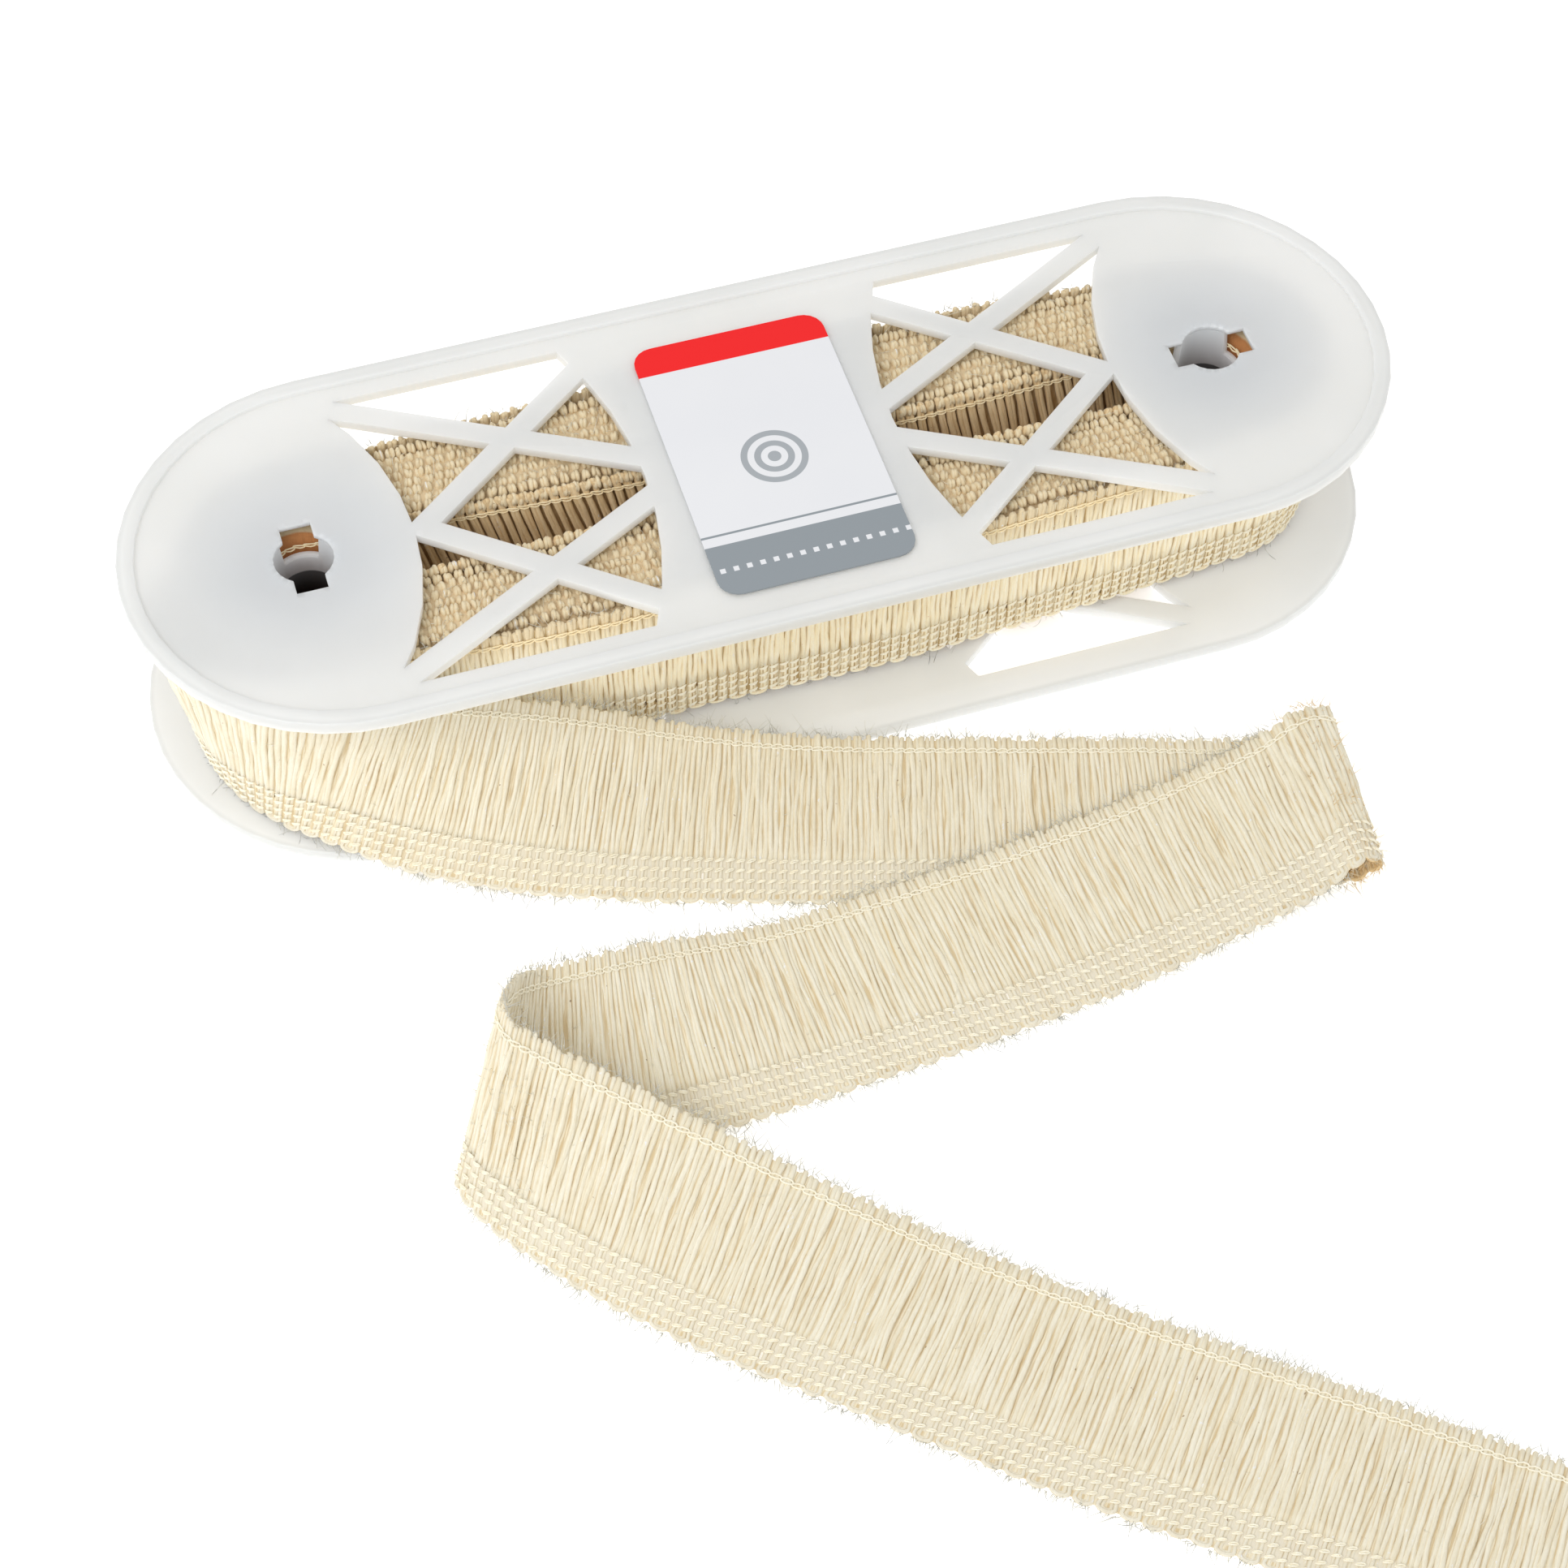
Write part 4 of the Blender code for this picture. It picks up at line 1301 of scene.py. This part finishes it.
# %% [markdown]
# ## The label
# A coated paper label sits on the middle of the upper flange. Its solid is right as it is. Its
# bands are drawn by height along the label, in the colours of such labels: red, white and grey. A
# row of squares lies in the grey band, and a coil of rings on the white.

# %% Finish the label
COIL = {"pitch": 2.6, "reach": 7.7, "above": 30.0}
RED = (0.95, 0.008, 0.01)
GREY = (0.3, 0.335, 0.365)
BLUR = 0.04
RED_BAND = 7.0
GREY_BAND = 12.0
RULE_ABOVE = 14.4
DOTS_ABOVE = 6.0


def label_finish():
    finish = Finish("coated paper")
    low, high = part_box("sticker")
    x, y, z = finish.place().parts()
    top = y - high.y / MM
    height = y - low.y / MM
    beside = x - (low.x + high.x) / 2 / MM
    red = top.between(-RED_BAND - BLUR, -RED_BAND + BLUR)
    grey = 1.0 - height.between(GREY_BAND - BLUR, GREY_BAND + BLUR)
    rule = 1.0 - abs(height - RULE_ABOVE).between(0.22, 0.3)
    middle = (beside**2.0 + (height - COIL["above"]) ** 2.0) ** 0.5
    per_coil = math.tau / COIL["pitch"]
    rings = (middle * per_coil).sine().between(-0.1, 0.1)
    rings = rings * (1.0 - middle.between(COIL["reach"], COIL["reach"] + 0.1))
    dots = (x * per_coil).sine().between(0.2, 0.4)
    dots = dots * (1.0 - abs(height - DOTS_ABOVE).between(0.5, 0.6))
    tint = finish.noise(x * 0.05, y * 0.05, z, 2.0)
    paper = finish.mix(tint, (0.83, 0.84, 0.88), (0.88, 0.885, 0.91))
    colour = finish.mix(red, paper, RED)
    for share in (grey, rule, rings * 0.8):
        colour = finish.mix(share, colour, GREY)
    colour = finish.mix(dots, colour, paper)
    finish.set("Base Color", colour)
    finish.set("Roughness", 0.35 + tint * 0.08)
    finish.set("Specular IOR Level", 0.3)
    finish.set("Coat Weight", 0.1)
    return finish.material


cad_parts["sticker"].material_slots[0].material = label_finish()
print("label finished")

# %% [markdown]
# ## Stray fibres
# Cotton is never tidy. Fine hairs stand off both edges of the trim, off its faces where it bends,
# and off the yarn ends in the winding. One hair is a thin three-sided cone, cut into three lengths
# so that it can curl. Each copy starts on a yarn, leaves it mostly along the surface's own
# directions, and bends as it goes. Where a flange is in its way it lies flat.

# %% Scatter the stray fibres
HAIR_PARTS = 3
HAIR_KINDS = (0.36, 0.36, 0.28)
BENDS = ((242.0, 260.0), (424.0, 456.0))
AT_BENDS = 0.4
CREAM_HAIR = 1.5
# painted shade: hairs off the edges are grey, those on the faces cream
SHADED_GREY_HAIR = -0.5
HAIR_LENGTH = (0.7, 3.6)
HAIR_THICK = 0.08
LOOSE_HAIRS = 5200
WOUND_HAIRS = 800


def hair_pattern():
    bpy.ops.mesh.primitive_cone_add(
        vertices=3, radius1=MM, radius2=0.3 * MM, depth=MM, location=(0, 0, MM / 2)
    )
    return cut_along(bpy.context.object, 2, HAIR_PARTS)


hair = hair_pattern()


def unit(vectors):
    return vectors / np.linalg.norm(vectors, axis=-1, keepdims=True)


FLOOR_TOUCH = 0.03
FLANGE_REACH = EDGE + 0.3
FIBRE_LOW = ON_FLANGE - 0.2
FIBRE_HIGH = WOUND_TOP + 0.1


def press_between_flanges(spots):
    """Lays the fibres flat where they would run into a flange or the floor."""
    x, y, z = (spots[..., k] for k in range(3))
    between = np.hypot(x - np.clip(x, -END_CENTRE, END_CENTRE), y) < FLANGE_REACH
    spots[..., 2] = np.where(between, np.clip(z, FIBRE_LOW, FIBRE_HIGH), np.maximum(z, FLOOR_TOUCH))


def scatter_hairs(name, surface, s, v, h, lead, tone, length=HAIR_LENGTH, thick=HAIR_THICK):
    """Hairs rooted at places of a surface. lead weighs the ways they point: along, across, out."""
    count = len(s)
    spot = surface.lay(s, v, h)
    strand = surface.middle(s, v)[1]
    out = surface.normal(s, v)
    axes = (unit(np.cross(strand, out)), strand, out)
    lead = lead + random.normal(0, 0.6, (count, 3))
    way = unit(sum(lead[:, k : k + 1] * axis for k, axis in enumerate(axes)))
    curl = unit(np.cross(way, random.normal(0, 1, (count, 3))))
    long = length[0] + (length[1] - length[0]) * random.uniform(0, 1, (count, 1)) ** 2
    bend = random.uniform(-0.5, 0.9, (count, 1)) * long
    x, y, z = (part[..., None] for part in hair.parts())
    side = unit(np.cross(way, curl))
    centre = spot[:, None] + way[:, None] * long[:, None] * z + curl[:, None] * bend[:, None] * z**2
    spots = centre + (curl[:, None] * x + side[:, None] * y) * thick
    press_between_flanges(spots)
    shape = spots.shape[:2]
    tones = np.broadcast_to(tone, (count,))[:, None]
    extras = {"lay": spots, "tone": np.broadcast_to(tones, shape), "crown": np.ones(shape)}
    return settle(joined(name, hair, spots, extras, fibre), "yarn")


def edge_hairs(name, surface, count, bends=()):
    """Hairs along the cut ends, along the loops, and on both faces, mostly at the bends."""
    kinds = random.choice(3, count, p=HAIR_KINDS)
    at_tips, at_loops, on_face = (kinds == k for k in range(3))
    s = random.uniform(0, surface.length, count)
    for low, high in bends:
        bent = on_face & (random.random(count) < AT_BENDS)
        s = np.where(bent, random.uniform(low, high, count), s)
    tips = random.uniform(TIPS - 0.2, TIPS + 0.5, count)
    loops = random.uniform(0.2, 0.6, count)
    v = np.select([at_tips, at_loops], [tips, loops], random.uniform(1.0, TRIM_WIDTH, count))
    face = random.choice((-1, 1), count)
    h = np.where(on_face, 0.4 * face, random.uniform(-0.4, 0.4, count))
    along = random.uniform(-1.0, 1.0, count)
    across = np.select([at_tips, at_loops], [1.3, -1.3], 0.3)
    lead = np.stack([along, across, np.where(on_face, 0.8 * face, 0.1)], axis=-1)
    tone = np.where(on_face, CREAM_HAIR, SHADED_GREY_HAIR)
    return scatter_hairs(name, surface, s, v, h, lead, tone)


loose_hairs = edge_hairs("loose_end_fibres", course, LOOSE_HAIRS, BENDS)
outer_hairs = edge_hairs("wound_fibres", outer_turn, WOUND_HAIRS)
print("fibre faces on the trim:", len(loose_hairs.data.polygons) + len(outer_hairs.data.polygons))

# %% Scatter fibres over the yarn ends
END_HAIRS = {"count": 800, "length": (1.0, 4.5), "thick": 0.07}
END_HAIRS_AT = {"turn": 0.55, "below": 1.3, "inward": -9, "outward": 10}


def end_hairs(name, count):
    """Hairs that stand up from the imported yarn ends."""
    wall = Turn(END_HAIRS_AT["turn"], 0.0)
    s = random.uniform(0, wall.length, count * 3)
    shown = np.abs(wall.xy(s)[:, 0])
    s = s[(shown > SHOWN_FROM) & (shown < SHOWN_TO)][:count]
    v = np.full(len(s), WOUND_TOP - END_HAIRS_AT["below"])
    h = random.uniform(END_HAIRS_AT["inward"], END_HAIRS_AT["outward"], len(s))
    along = random.uniform(-1, 1, len(s))
    lead = np.stack([along, np.full(len(s), 0.1), random.uniform(-1, 1, len(s))], axis=-1)
    return scatter_hairs(name, wall, s, v, h, lead, 1.0, END_HAIRS["length"], END_HAIRS["thick"])


top_hairs = end_hairs("yarn_end_fibres", END_HAIRS["count"])
print("fibre faces over the yarn ends:", len(top_hairs.data.polygons))

# %% [markdown]
# ## The cloth, as it was cut
# The loose end and the outer turn are sheets: a straight length of trim each, 37.8 mm wide.

print("the loose end and the outer turn: straight lengths of trim")

# %% Count the triangles
made = [piece for piece in bpy.context.scene.objects if piece.type == "MESH" and not piece.hide_render]
print("triangles:", sum(len(f.vertices) - 2 for piece in made for f in piece.data.polygons))
